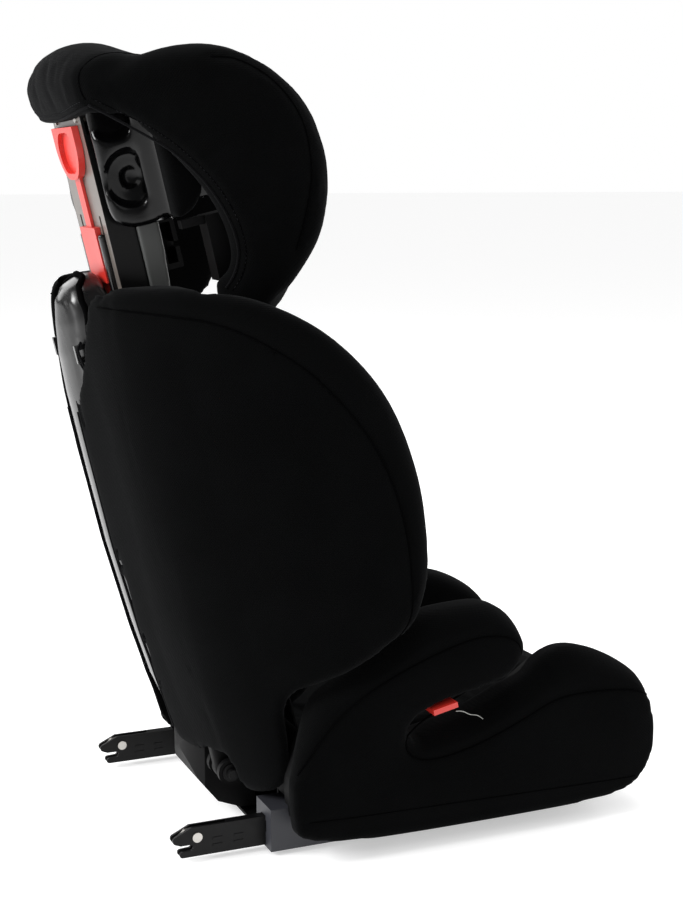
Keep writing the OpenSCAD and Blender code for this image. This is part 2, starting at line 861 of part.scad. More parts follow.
pin_travel = handle_travel / 2;   // sideways travel of a lock pin
peg_x = 7;                        // peg of a withdrawn lock pin

module release_slider() {
    color(red) on_back() {
        // thumb pad behind the mast, and the strip down to the cam block
        slab_back(mast_y + 0.4, mast_y + 6) translate([-29, 500]) square([58, 55]);
        slab_back(mast_y + 0.4, mast_y + 3.4) translate([-12, cam_z]) square([24, 500.5 - cam_z]);
        difference() {
            slab_back(mast_y - 8, mast_y + 0.6) translate([-17, cam_z]) square([34, cam_h]);
            slab_back(mast_y - 9, mast_y + 0.3) union() {
                slot([peg_x, pin_z], [peg_x + pin_travel, pin_z + handle_travel], 2.4);
                slot([-peg_x, pin_z], [-peg_x - pin_travel, pin_z + handle_travel], 2.4);
            }
        }
    }
}

// Drawn withdrawn, clear of the rail notches
module lock_pin() {
    color(steel_grey) on_back() {
        rod_x(4, 59.4, pin_y, pin_z, 4);
        rod_y(pin_y, mast_y - 0.6, peg_x, pin_z, 2);
    }
}

module release_spring() {
    color(steel_grey) on_back() translate([0, -35, cam_z + cam_h + gap])
        coil(3.4, 0.7, 482 - cam_z - cam_h - 2 * gap, 9, 8, 16);
}

// ---------------------------------------------------------------- output

base_shell();
base_tray();
base_screws();
base_cover();
seat_cushion();
side_foam();  // side_foam_left
on_right() side_foam();  // side_foam_right
lap_belt_guide();  // lap_belt_guide_left
on_right() lap_belt_guide();  // lap_belt_guide_right
recline_rod();
rod_clips();
anchor_guide();  // anchor_guide_left
on_right() anchor_guide();  // anchor_guide_right
anchor_arm();  // anchor_arm_left
on_right() anchor_arm();  // anchor_arm_right
anchor_crossbar();
anchor_rack();
latch_pawl();  // latch_pawl_left
on_right() latch_pawl();  // latch_pawl_right
latch_rivet();  // latch_rivet_left
on_right() latch_rivet();  // latch_rivet_right
latch_spring();  // latch_spring_left
on_right() latch_spring();  // latch_spring_right
anchor_release_lever();
lever_pin();
lever_spring();
back_shell();
back_panel();
back_screws();
back_cover();
back_cushion();
wing_foam();  // wing_foam_left
on_right() wing_foam();  // wing_foam_right
mast_rail();  // mast_rail_left
on_right() mast_rail();  // mast_rail_right
cover_hook();  // cover_hook_left
on_right() cover_hook();  // cover_hook_right
headrest_shell();
headrest_mast();
headrest_screws();
headrest_cover();
headrest_cushion();
headrest_foam();  // headrest_foam_left
on_right() headrest_foam();  // headrest_foam_right
shoulder_belt_guide();  // shoulder_belt_guide_left
on_right() shoulder_belt_guide();  // shoulder_belt_guide_right
release_handle();
release_slider();
lock_pin();  // lock_pin_left
on_right() lock_pin();  // lock_pin_right
release_spring();
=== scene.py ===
import json
import math

import bpy
import numpy as np
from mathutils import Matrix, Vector
from mathutils.bvhtree import BVHTree


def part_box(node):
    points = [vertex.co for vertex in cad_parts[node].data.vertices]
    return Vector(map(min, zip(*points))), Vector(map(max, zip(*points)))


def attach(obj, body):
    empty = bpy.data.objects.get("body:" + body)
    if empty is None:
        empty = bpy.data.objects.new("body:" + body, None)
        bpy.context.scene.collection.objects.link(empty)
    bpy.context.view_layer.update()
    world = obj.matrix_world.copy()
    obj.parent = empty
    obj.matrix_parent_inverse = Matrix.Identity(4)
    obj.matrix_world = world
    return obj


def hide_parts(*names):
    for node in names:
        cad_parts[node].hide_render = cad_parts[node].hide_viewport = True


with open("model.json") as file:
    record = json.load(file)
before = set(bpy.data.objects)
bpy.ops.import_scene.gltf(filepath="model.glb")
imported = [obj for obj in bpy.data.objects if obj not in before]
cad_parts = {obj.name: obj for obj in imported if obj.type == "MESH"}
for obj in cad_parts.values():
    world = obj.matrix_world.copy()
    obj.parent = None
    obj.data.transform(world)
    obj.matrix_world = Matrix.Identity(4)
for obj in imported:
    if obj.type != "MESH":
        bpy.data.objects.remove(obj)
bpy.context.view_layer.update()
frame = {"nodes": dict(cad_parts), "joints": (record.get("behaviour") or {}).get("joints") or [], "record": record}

MM = 0.001                        # the fields are in mm, the meshes in metres
CLOTH_FRAMES = 20
SIDES = (("left", False), ("right", True))      # each side's name, and whether it is mirrored


# ---------- the frame

def joint(name):
    return next(j for j in frame["joints"] if j["name"] == name)


PIVOT = Vector(joint("backrest_recline")["pos_m"])
UP = Vector(joint("headrest_height")["axis"]).normalized()      # along the back
REAR = Vector((0, UP.z, -UP.y))                                 # square to the back


def back_to_row(points):
    """Backrest frame (mm, from the recline pivot) to row frame (m)."""
    p = np.asarray(points, float).reshape(-1, 3) * MM
    return np.outer(p[:, 0], (1, 0, 0)) + np.outer(p[:, 1], REAR) + np.outer(p[:, 2], UP) + np.array(PIVOT)


def row_to_back(points):
    """Row frame (m) to backrest frame (mm)."""
    p = (np.asarray(points, float) - np.array(PIVOT)) / MM
    return np.stack([p[:, 0], p @ np.array(REAR), p @ np.array(UP)], 1)


def base_to_row(points):
    """Row frame in mm to row frame in m."""
    return np.asarray(points, float).reshape(-1, 3) * MM


# ---------- curves and distances

def curve(points, n=6):
    """Smooth open curve through the points."""
    p = np.asarray(points, float)
    ends = np.vstack([p[:1], p, p[-1:]])
    out = []
    for a, b, c, d in zip(ends, ends[1:], ends[2:], ends[3:]):
        for t in np.arange(n) / n:
            out.append(0.5 * (2 * b + t * (c - a) + t * t * (2 * a - 5 * b + 4 * c - d)
                              + t ** 3 * (3 * b - a - 3 * c + d)))
    out.append(p[-1])
    return np.array(out)


def polygon_distance(poly, u, v):
    """Signed distance of the points (u, v) to a closed polygon, negative inside."""
    shape = u.shape
    u, v = u.ravel(), v.ravel()
    best = np.full(u.shape, 1e18)
    inside = np.zeros(u.shape, bool)
    for (ax, ay), (bx, by) in zip(poly, np.roll(poly, -1, 0)):
        ex, ey = bx - ax, by - ay
        wx, wy = u - ax, v - ay
        t = np.clip((wx * ex + wy * ey) / max(ex * ex + ey * ey, 1e-12), 0, 1)
        best = np.minimum(best, (wx - t * ex) ** 2 + (wy - t * ey) ** 2)
        crosses = (ay > v) != (by > v)
        if ey:
            inside ^= crosses & (u < ax + ex * (v - ay) / ey)
    return (np.sqrt(best) * np.where(inside, -1, 1)).reshape(shape)


def round_and(a, b, r):
    """Both volumes at once, with the shared edge rounded to radius r."""
    u, v = a + r, b + r
    return np.minimum(np.maximum(u, v), 0) + np.hypot(np.maximum(u, 0), np.maximum(v, 0)) - r


def smooth_or(a, b, r):
    """Either volume, with a soft fillet of size r where they meet."""
    h = np.clip(0.5 + 0.5 * (b - a) / r, 0, 1)
    return b + (a - b) * h - r * h * (1 - h)


def line_distance(line, u, v):
    """Distance of the points (u, v) to an open line."""
    best = np.full(u.shape, 1e18)
    for (ax, ay), (bx, by) in zip(line, line[1:]):
        ex, ey = bx - ax, by - ay
        t = np.clip(((u - ax) * ex + (v - ay) * ey) / max(ex * ex + ey * ey, 1e-12), 0, 1)
        best = np.minimum(best, (u - ax - t * ex) ** 2 + (v - ay - t * ey) ** 2)
    return np.sqrt(best)


def box_distance(x, y, z, low, high):
    """Signed distance to an upright box."""
    q = [np.abs(c - (a + b) / 2) - (b - a) / 2 for c, a, b in zip((x, y, z), low, high)]
    out = np.sqrt(sum(np.maximum(c, 0) ** 2 for c in q))
    return out + np.minimum(np.maximum(np.maximum(q[0], q[1]), q[2]), 0)


def ramp(x, a, b):
    """Smooth step from 0 at a to 1 at b."""
    t = np.clip((x - a) / (b - a), 0, 1)
    return t * t * (3 - 2 * t)


def bump_at(d, width):
    """1 where the distance d is 0, fading out over the width."""
    return np.exp(-(d / width) ** 2)


# ---------- meshes

def grid(low, high, step):
    """Coordinates of a regular grid between two corners."""
    axes = [np.arange(a, b + step, step) for a, b in zip(low, high)]
    return np.meshgrid(*axes, indexing="ij")


def surface(f, low, step):
    """Surface of the volume f < 0 on a regular grid, as vertices and quads (surface nets)."""
    sign = f < 0
    nx, ny, nz = f.shape
    corner = [(i, j, k) for i in (0, 1) for j in (0, 1) for k in (0, 1)]

    def view(a, c):
        return a[c[0]:nx - 1 + c[0], c[1]:ny - 1 + c[1], c[2]:nz - 1 + c[2]]

    total = np.zeros((nx - 1, ny - 1, nz - 1, 3))
    count = np.zeros((nx - 1, ny - 1, nz - 1))
    for a in corner:
        for axis in range(3):
            if a[axis]:
                continue
            b = list(a)
            b[axis] = 1
            fa, fb = view(f, a), view(f, b)
            hit = (fa < 0) != (fb < 0)
            t = np.where(hit, fa / np.where(hit, fa - fb, 1), 0)
            for m in range(3):
                total[..., m] += hit * (a[m] + (t if m == axis else 0))
            count += hit
    used = count > 0
    index = np.full(used.shape, -1)
    index[used] = np.arange(used.sum())
    cells = np.argwhere(used)
    verts = (cells + total[used] / count[used][:, None]) * step + np.array(low)
    quads = []
    for axis in range(3):
        u, v = (axis + 1) % 3, (axis + 2) % 3
        lo = [slice(None)] * 3
        hi = [slice(None)] * 3
        lo[axis], hi[axis] = slice(0, -1), slice(1, None)
        change = sign[tuple(lo)] != sign[tuple(hi)]
        for p in np.argwhere(change):
            if p[u] == 0 or p[v] == 0 or p[u] >= f.shape[u] - 1 or p[v] >= f.shape[v] - 1:
                continue
            ring = []
            for du, dv in ((-1, -1), (0, -1), (0, 0), (-1, 0)):
                c = p.copy()
                c[u] += du
                c[v] += dv
                ring.append(index[tuple(c)])
            if min(ring) < 0:
                continue
            quads.append(ring if sign[tuple(p)] else ring[::-1])
    return verts, quads


def make_mesh(name, verts, faces, material=None):
    """A new mesh object in the scene."""
    mesh = bpy.data.meshes.new(name)
    mesh.from_pydata([tuple(v) for v in verts], [], [tuple(map(int, q)) for q in faces])
    mesh.update()
    obj = bpy.data.objects.new(name, mesh)
    bpy.context.scene.collection.objects.link(obj)
    mesh.shade_smooth()
    if material:
        mesh.materials.append(material)
    return obj


def relax(verts, faces, rounds=2, amount=0.5):
    """Evens out a mesh without shrinking it."""
    edges = np.array([(q[i], q[(i + 1) % len(q)]) for q in faces for i in range(len(q))])
    verts = np.asarray(verts, float).copy()
    degree = np.zeros(len(verts))
    np.add.at(degree, edges[:, 0], 1)
    np.add.at(degree, edges[:, 1], 1)
    for _ in range(rounds):
        for factor in (amount, -amount * 1.04):
            mean = np.zeros_like(verts)
            np.add.at(mean, edges[:, 0], verts[edges[:, 1]])
            np.add.at(mean, edges[:, 1], verts[edges[:, 0]])
            verts += factor * (mean / degree[:, None] - verts)
    return verts


def coords_of(obj):
    """Vertex places of an object, as an array."""
    c = np.zeros(len(obj.data.vertices) * 3)
    obj.data.vertices.foreach_get("co", c)
    return c.reshape(-1, 3)


def set_coords(obj, co):
    obj.data.vertices.foreach_set("co", np.asarray(co, float).ravel())
    obj.data.update()


def soft(name, field, low, high, step, to_row, material, mirror=False):
    """A piece from a distance field in mm, made in its own frame and put in the row frame."""
    x, y, z = grid(low, high, step)
    verts, quads = surface(field(x, y, z), low, step)
    verts = relax(verts, quads)
    if mirror:
        verts[:, 0] *= -1
        quads = [q[::-1] for q in quads]
    return make_mesh(name, to_row(verts), quads, material)


def puff(obj, pinned, cap, shrink=0.0):
    """Fills a padded piece with air, as cloth held along its pinned vertices."""
    rest = coords_of(obj)
    group = obj.vertex_groups.new(name="pin")
    group.add([int(i) for i in np.flatnonzero(pinned)], 1.0, "REPLACE")
    mod = obj.modifiers.new("cloth", "CLOTH")
    s = mod.settings
    s.quality = 4
    s.mass = 0.2
    s.tension_stiffness = 12
    s.compression_stiffness = 8
    s.shear_stiffness = 4
    s.bending_stiffness = 0.4
    s.vertex_group_mass = "pin"
    s.use_pressure = True
    s.uniform_pressure_force = 3
    s.shrink_min = shrink
    s.effector_weights.gravity = 0
    mod.collision_settings.use_collision = False
    mod.point_cache.frame_start = 1
    mod.point_cache.frame_end = CLOTH_FRAMES
    scene = bpy.context.scene
    for f in range(1, CLOTH_FRAMES + 1):
        scene.frame_set(f)
    graph = bpy.context.evaluated_depsgraph_get()
    moved = np.zeros(len(rest) * 3)
    obj.evaluated_get(graph).data.vertices.foreach_get("co", moved)
    delta = moved.reshape(-1, 3) - rest
    size = np.linalg.norm(delta, axis=1, keepdims=True)
    delta *= np.minimum(1, cap / np.maximum(size, 1e-9))
    delta[~np.isfinite(delta).all(1)] = 0
    obj.modifiers.remove(mod)
    obj.vertex_groups.remove(group)
    scene.frame_set(1)
    set_coords(obj, rest + delta)


def tree_of(obj):
    return BVHTree.FromPolygons([v.co for v in obj.data.vertices], [p.vertices for p in obj.data.polygons])


def sweep(name, path, radius, material, sides=6):
    """A round cord along a path in the row frame (m)."""
    path = np.asarray(path, float)
    n = len(path)
    verts, faces = [], []
    across = None
    for i in range(n):
        t = Vector(path[min(i + 1, n - 1)] - path[max(i - 1, 0)]).normalized()
        if across is None:
            across = t.cross(Vector((1, 0, 0)) if abs(t.x) < 0.9 else Vector((0, 0, 1)))
        # the cross-section is carried along without a twist
        across = (across - t * across.dot(t)).normalized()
        u, w = across, across.cross(t)
        for k in range(sides):
            turn = math.tau * k / sides
            verts.append(Vector(path[i]) + u * radius * math.cos(turn) + w * radius * math.sin(turn))
    for i in range(n - 1):
        here, after = i * sides, (i + 1) * sides
        for k in range(sides):
            m = (k + 1) % sides
            faces.append((here + k, here + m, after + m, after + k))
    faces.append(tuple(range(sides))[::-1])
    faces.append(tuple((n - 1) * sides + k for k in range(sides)))
    return make_mesh(name, verts, faces, material)


def lengths(path):
    """Length along the path at each of its points."""
    return np.concatenate([[0], np.cumsum(np.linalg.norm(np.diff(path, axis=0), axis=1))])


def even(path, spacing):
    """The same path with points at an even spacing."""
    path = np.asarray(path, float)
    s = lengths(path)
    n = max(2, int(s[-1] / spacing))
    t = np.linspace(0, s[-1], n + 1)
    return np.stack([np.interp(t, s, path[:, k]) for k in range(3)], 1)


# ---------- materials

def nodes_of(name):
    """A new material with its node tree and its shader."""
    mat = bpy.data.materials.new(name)
    mat.use_nodes = True
    nt = mat.node_tree
    return mat, nt, nt.nodes["Principled BSDF"]


def set_inputs(node, values):
    for name, value in values.items():
        node.inputs[name].default_value = value


def add_texture(nt, kind, coord, values):
    """A texture in the object's own coordinates."""
    texture = nt.nodes.new(kind)
    set_inputs(texture, values)
    nt.links.new(coord.outputs["Object"], texture.inputs["Vector"])
    return texture


def add_math(nt, operation, a, b):
    """Two textures or values put together."""
    node = nt.nodes.new("ShaderNodeMath")
    node.operation = operation
    nt.links.new(a, node.inputs[0])
    nt.links.new(b, node.inputs[1])
    return node.outputs[0]


def add_bump(nt, bsdf, height, strength, distance):
    """Fine relief of the surface, with its depth in metres."""
    bump = nt.nodes.new("ShaderNodeBump")
    set_inputs(bump, {"Strength": strength, "Distance": distance})
    nt.links.new(height, bump.inputs["Height"])
    nt.links.new(bump.outputs["Normal"], bsdf.inputs["Normal"])


def vary_roughness(nt, bsdf, texture, low, high):
    """Roughness that follows a texture between two values."""
    spread = nt.nodes.new("ShaderNodeMapRange")
    set_inputs(spread, {"To Min": max(low, 0.05), "To Max": high})
    nt.links.new(texture.outputs["Fac"], spread.inputs["Value"])
    nt.links.new(spread.outputs["Result"], bsdf.inputs["Roughness"])


def fabric_material(name, color, sheen, weave=1.0):
    """Matt cloth: a fine weave, fuzz, and a slightly cloudy colour."""
    mat, nt, bsdf = nodes_of(name)
    coord = nt.nodes.new("ShaderNodeTexCoord")
    cloudy = add_texture(nt, "ShaderNodeTexNoise", coord, {"Scale": 22, "Detail": 5})
    tone = nt.nodes.new("ShaderNodeValToRGB")
    for stop, place, gain in zip(tone.color_ramp.elements, (0.35, 0.7), (0.8, 1.25)):
        stop.position = place
        stop.color = (*[c * gain for c in color], 1)
    nt.links.new(cloudy.outputs["Fac"], tone.inputs["Fac"])
    nt.links.new(tone.outputs["Color"], bsdf.inputs["Base Color"])
    waves = []
    for direction in ("DIAGONAL", "Z"):
        wave = add_texture(nt, "ShaderNodeTexWave", coord, {"Scale": 190, "Distortion": 0.6})
        wave.bands_direction = direction
        waves.append(wave.outputs["Fac"])
    fuzz = add_texture(nt, "ShaderNodeTexNoise", coord, {"Scale": 900})
    relief = add_math(nt, "ADD", add_math(nt, "MULTIPLY", *waves), fuzz.outputs["Fac"])
    add_bump(nt, bsdf, relief, 0.36 * weave, 0.0006)
    set_inputs(bsdf, {"Roughness": 1.0, "Specular IOR Level": 0.03, "Sheen Weight": sheen,
                      "Sheen Roughness": 0.55, "Sheen Tint": (0.8, 0.82, 0.85, 1)})
    return mat


def plastic_material(name, color, rough, grain=0.15, coat=0.0, specular=0.5):
    """Moulded plastic with a fine grain and uneven gloss."""
    mat, nt, bsdf = nodes_of(name)
    coord = nt.nodes.new("ShaderNodeTexCoord")
    fine = add_texture(nt, "ShaderNodeTexNoise", coord, {"Scale": 700, "Detail": 3})
    wear = add_texture(nt, "ShaderNodeTexNoise", coord, {"Scale": 18, "Detail": 6})
    vary_roughness(nt, bsdf, wear, rough - 0.08, rough + 0.12)
    add_bump(nt, bsdf, fine.outputs["Fac"], grain, 0.0003)
    set_inputs(bsdf, {"Base Color": (*color, 1), "Specular IOR Level": specular,
                      "Coat Weight": coat, "Coat Roughness": 0.2})
    return mat


def metal_material(name, color, rough, metallic=1.0, specular=0.5):
    """Plated or painted steel with a grain drawn out along its length."""
    mat, nt, bsdf = nodes_of(name)
    coord = nt.nodes.new("ShaderNodeTexCoord")
    stretch = add_texture(nt, "ShaderNodeMapping", coord, {"Scale": (600, 40, 40)})
    grain = nt.nodes.new("ShaderNodeTexNoise")
    set_inputs(grain, {"Scale": 3})
    nt.links.new(stretch.outputs["Vector"], grain.inputs["Vector"])
    vary_roughness(nt, bsdf, grain, rough - 0.1, rough + 0.15)
    set_inputs(bsdf, {"Base Color": (*color, 1), "Metallic": metallic, "Specular IOR Level": specular})
    return mat


FABRIC = fabric_material("black fabric", (0.0007, 0.00075, 0.0008), 0.022)
CORD = fabric_material("seam cord", (0.0006, 0.0006, 0.0007), 0.0)
BINDING = fabric_material("edge binding", (0.003, 0.003, 0.0033), 0.03)
THREAD = fabric_material("stitch thread", (0.007, 0.007, 0.008), 0.05)
PALE_THREAD = fabric_material("loose thread", (0.35, 0.35, 0.33), 0.1)
FOAM = fabric_material("foam", (0.5, 0.5, 0.47), 0.1, 0.4)
BLACK = plastic_material("black plastic", (0.0022, 0.0022, 0.0025), 0.26, 0.06, 0.15)
DULL = plastic_material("dull black plastic", (0.0018, 0.0018, 0.002), 0.55, 0.2, 0.0, 0.12)
MAST = plastic_material("mast plastic", (0.1, 0.085, 0.075), 0.34, 0.08, 0.2)
FLANGE = plastic_material("flange plastic", (0.05, 0.052, 0.05), 0.4, 0.1)
SHELL = plastic_material("shell plastic", (0.0014, 0.0014, 0.0016), 0.18, 0.1, 0.0, 0.26)
GREY = plastic_material("grey plastic", (0.024, 0.025, 0.031), 0.5)
RED = plastic_material("red plastic", (0.52, 0.022, 0.014), 0.36, 0.1, 0.2)
BLACK_STEEL = metal_material("black painted steel", (0.0025, 0.0025, 0.0028), 0.42, 0.0, 0.2)
STEEL = metal_material("zinc plated steel", (0.55, 0.53, 0.5), 0.35)


def paint_side_shade(mat, half_width):
    """Leaves the colour on the rear face only: beyond the half width the sides are painted black as shade, with
    their specular turned down.
    """
    nt = mat.node_tree
    new, link = nt.nodes.new, nt.links.new
    bsdf = nt.nodes["Principled BSDF"]
    split = new("ShaderNodeSeparateXYZ")
    link(new("ShaderNodeTexCoord").outputs["Object"], split.inputs["Vector"])
    away = new("ShaderNodeMath")
    away.operation = "ABSOLUTE"
    link(split.outputs["X"], away.inputs[0])
    edge = new("ShaderNodeMapRange")
    set_inputs(edge, {"From Min": half_width - 1.2 * MM, "From Max": half_width - 0.4 * MM})
    link(away.outputs["Value"], edge.inputs["Value"])
    mix = new("ShaderNodeMix")
    mix.data_type = "RGBA"
    # of this node, input 0 is the factor, inputs 6 and 7 are the two colours, and output 2 is the mix
    mix.inputs[6].default_value = bsdf.inputs["Base Color"].default_value
    # painted shade: the black of the mast's sides
    mix.inputs[7].default_value = (0.002, 0.002, 0.0022, 1)
    link(edge.outputs["Result"], mix.inputs[0])
    link(mix.outputs[2], bsdf.inputs["Base Color"])
    shine = new("ShaderNodeMapRange")
    set_inputs(shine, {"To Min": 0.5, "To Max": 0.1})
    link(edge.outputs["Result"], shine.inputs["Value"])
    link(shine.outputs["Result"], bsdf.inputs["Specular IOR Level"])


# the mast's side faces get painted shade
paint_side_shade(MAST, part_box("headrest_mast")[1].x)

SLOT_MATERIAL = {"fabric": FABRIC, "foam": FOAM, "black_plastic": BLACK, "grey_plastic": GREY,
                 "red_plastic": RED, "black_steel": BLACK_STEEL, "bright_steel": STEEL}
OWN_MATERIAL = {"headrest_mast": MAST, "base_shell": DULL, "base_tray": DULL, "mast_rail_left": DULL,
                "mast_rail_right": DULL, "shoulder_belt_guide_left": DULL, "shoulder_belt_guide_right": DULL}


def dress_cad_nodes():
    """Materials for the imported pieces, and soft edges on the moulded ones."""
    slots = {s["node"]: s["material_slot"] for s in frame["record"]["subparts"]}
    for name, obj in frame["nodes"].items():
        obj.data.materials.clear()
        obj.data.materials.append(OWN_MATERIAL.get(name, SLOT_MATERIAL[slots[name]]))
        if slots[name] in ("black_plastic", "grey_plastic", "red_plastic"):
            soften = obj.modifiers.new("edge", "BEVEL")
            soften.width = 0.8 * MM
            soften.segments = 2
            soften.limit_method = "ANGLE"
            soften.angle_limit = math.radians(40)
            soften.use_clamp_overlap = True
            obj.data.shade_smooth()
            obj.modifiers.new("normals", "WEIGHTED_NORMAL")


# ---------- seams

CAST_FROM = 0.25                  # a line is cast onto a surface from this far off (m)
OUTSIDE_X = 90                    # side seams are sewn only further out than this
SEAM_WIDTH = 2.6                  # of the groove that a seam draws in
SEAM_DEPTH = 2.2


def cast_line(tree, points, direction, lift=0.0):
    """The points moved along a direction until they meet the surface, pushed out by lift."""
    d = Vector(direction).normalized()
    out, normals = [], []
    for p in points:
        hit, n, _, _ = tree.ray_cast(Vector(p) - d * CAST_FROM, d)
        if hit is None:
            continue
        if n.dot(d) > 0:
            n = -n
        out.append(hit + n * lift)
        normals.append(n)
    return out, normals


def mirrored(points):
    """The points on the other side of the middle plane."""
    return [Vector((-p[0], p[1], p[2])) for p in points]


def stitches(name, path, normals, material, pitch=4.2, length=2.6, width=0.42):
    """A row of small thread stitches along a path."""
    path = np.asarray(path, float)
    s = lengths(path)
    normals = np.asarray(normals, float)
    verts, faces = [], []
    for at in np.arange(pitch * MM, s[-1] - pitch * MM, pitch * MM):
        ends = (at + h * length * MM / 2 for h in (-1, 1))
        a, b = (np.array([np.interp(end, s, path[:, k]) for k in range(3)]) for end in ends)
        n = Vector([np.interp(at, s, normals[:, k]) for k in range(3)]).normalized()
        t = Vector(b - a).normalized()
        side = t.cross(n).normalized() * width * MM
        up = n * width * MM
        base = len(verts)
        for p, scale in ((a, 0.5), ((a + b) / 2, 1.0), (b, 0.5)):
            for k in range(6):
                turn = math.tau * k / 6
                verts.append(Vector(p) + (side * math.cos(turn) + up * math.sin(turn)) * scale)
        for ring in (0, 6):
            for k in range(6):
                m = (k + 1) % 6
                faces.append((base + ring + k, base + ring + m, base + ring + 6 + m, base + ring + 6 + k))
        faces.append(tuple(base + k for k in range(6))[::-1])
        faces.append(tuple(base + 12 + k for k in range(6)))
    return make_mesh(name, verts, faces, material)


def seam(name, obj, line, to_row, x_from, body, radius=0.9, sink=0.35, stitched=False, material=CORD):
    """A sewn seam on both sides of the seat: a cord sunk in its groove, and stitches beside it."""
    row = to_row([(x_from, y, z) for y, z in line])
    found = cast_line(tree_of(obj), even(row, 4 * MM), (-1, 0, 0), radius * MM * (1 - 2 * sink))
    kept = [(p, n) for p, n in zip(*found) if p.x > OUTSIDE_X * MM]
    points = [p for p, _ in kept]
    normals = [n for _, n in kept]
    for side, pts, nrm in (("left", points, normals), ("right", mirrored(points), mirrored(normals))):
        cord = sweep(f"{name}_{side}", smooth_path(pts), radius * MM, material)
        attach(cord, body)
        if stitched:
            offset = [p + n * 0.2 * MM for p, n in zip(pts, nrm)]
            row_of = stitches(f"{name}_stitches_{side}", offset, nrm, THREAD)
            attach(row_of, body)


def smooth_path(points, rounds=3):
    """The path with its small kinks evened out."""
    p = np.asarray(points, float)
    for _ in range(rounds):
        p[1:-1] = 0.5 * p[1:-1] + 0.25 * (p[:-2] + p[2:])
    return p


# ---------- base, in mm, row frame

SIDE_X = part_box("base_cover")[1].x / MM
OUTER_X = SIDE_X - 3              # outer face of the sides, before it swells
CROWN_X = 176                     # from here outwards the crown rounds over to the seam
INNER_X = 150                     # inner face of the sides, beside the seat pad
HEM_Z = 44                        # hem line along the foot of the sides
HEM_RISE = 0.02
# a side's underside, the seam on its outer face, and its crown further in
UNDER = curve([[207, 84], [205, 50], [196, 30], [150, 20], [72, 17], [-46, 17], [-140, 20], [-183, 32],
               [-202, 60], [-205, 92], [-198, 124]])
SEAM_LINE = curve([[-198, 124], [-178, 134], [-132, 139], [-84, 136], [-38, 117], [7, 101], [45, 93],
                   [72, 94], [87, 108], [80, 130], [52, 148], [8, 157], [-28, 168], [-42, 188],
                   [-32, 206], [3, 212], [42, 204], [85, 189], [128, 169], [162, 145], [190, 112],
                   [207, 84]])
CROWN_LINE = curve([[-198, 126], [-186, 151], [-150, 175], [-112, 187], [-80, 180], [-50, 156],
                    [0, 132], [40, 120], [68, 116], [82, 126], [76, 138], [50, 150], [8, 158],
                    [-28, 169], [-49, 190], [-40, 221], [-16, 239], [20, 241], [66, 234],
                    [105, 205], [142, 180], [175, 158], [195, 122], [207, 84]])
PANEL = np.vstack([UNDER, SEAM_LINE[1:-1]])
CROWN = np.vstack([UNDER, CROWN_LINE[1:-1]])


def side_field(x, y, z):
    """One padded side of the base: the thigh bolster, and the armrest over the belt gap."""
    panel = polygon_distance(PANEL, y[0], z[0])[None]
    crown = polygon_distance(CROWN, y[0], z[0])[None]
    t = np.clip((x - CROWN_X) / (OUTER_X - CROWN_X), 0, 1)
    over = 1 - np.sqrt(1 - t ** 2)
    sag = 5 * ramp(-x, -196, -INNER_X) * ramp(z, 120, 150) * ramp(-y, 30, 62)
    shape = crown + (panel - crown) * over + sag
    outer = x - OUTER_X - 3 * np.clip(-panel / 40, 0, 1)
    # the inner face turns outwards at the rear, clear of the backrest
    inner = INNER_X + 34 * ramp(y, 165, 215) - x
    f = round_and(shape, outer, 5)
    f = round_and(f, inner, 14)
    # folds gathered at the closed end of the belt gap
    folds = sum(bump_at(y - (70 + 7 * k) - 0.25 * (z - 120), 2.0) for k in range(3))
    folds = folds * ramp(z, 96, 112) * ramp(-z, -150, -134) * ramp(x, SIDE_X - 34, SIDE_X - 12) * 2.2
    groove = bump_at(panel, SEAM_WIDTH) * ramp(x, SIDE_X - 26, SIDE_X - 8) * 2.0
    rib = bump_at(z - HEM_Z - HEM_RISE * y, 2.4) * ramp(x, SIDE_X - 14, SIDE_X - 4) * 0.9
    return f + groove + folds + rib


def base_sides():
    """Both padded sides, filled with air between their seams."""
    for side, mirror in SIDES:
        o = soft(f"base_cover_{side}", side_field, (INNER_X - 8, -217, 8), (SIDE_X + 8, 220, 252), 4,
                 base_to_row, FABRIC, mirror)
        co = coords_of(o) / MM
        at_seam = polygon_distance(PANEL, co[:, 1], co[:, 2])
        held = (np.abs(at_seam) < 5) & (np.abs(co[:, 0]) > SIDE_X - 24)
        held |= (co[:, 2] < 34) | (np.abs(co[:, 0]) < INNER_X + 6) | (co[:, 1] > 180)
        gap = (co[:, 1] > -60) & (co[:, 1] < 100) & (co[:, 2] > 88) & (co[:, 2] < 175)
        puff(o, held | gap, cap=1.5 * MM)
        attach(o, "base")
        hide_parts("base_cover", f"side_foam_{side}")
        if not mirror:
            seam("base_seam", o, SEAM_LINE[2:-3], base_to_row, SIDE_X + 20, "base")
            low = [(y, HEM_Z + HEM_RISE * y) for y in np.linspace(-180, 190, 30)]
            seam("base_hem", o, low, base_to_row, SIDE_X + 20, "base", radius=0.5)


SEAT_SEAM_X = 96                  # lengthwise seams of the seat pad
SEAT_SEAM_Y = -128                # crosswise seam behind its front roll
SEAT = np.vstack([
    curve([[178, 118], [120, 115], [20, 118], [-70, 133], [-116, 143], [-140, 138], [-160, 128],
           [-178, 114], [-192, 95], [-198, 75], [-196, 54], [-190, 36]]),
    [[-184, 34], [-184, 84], [178, 88]]])


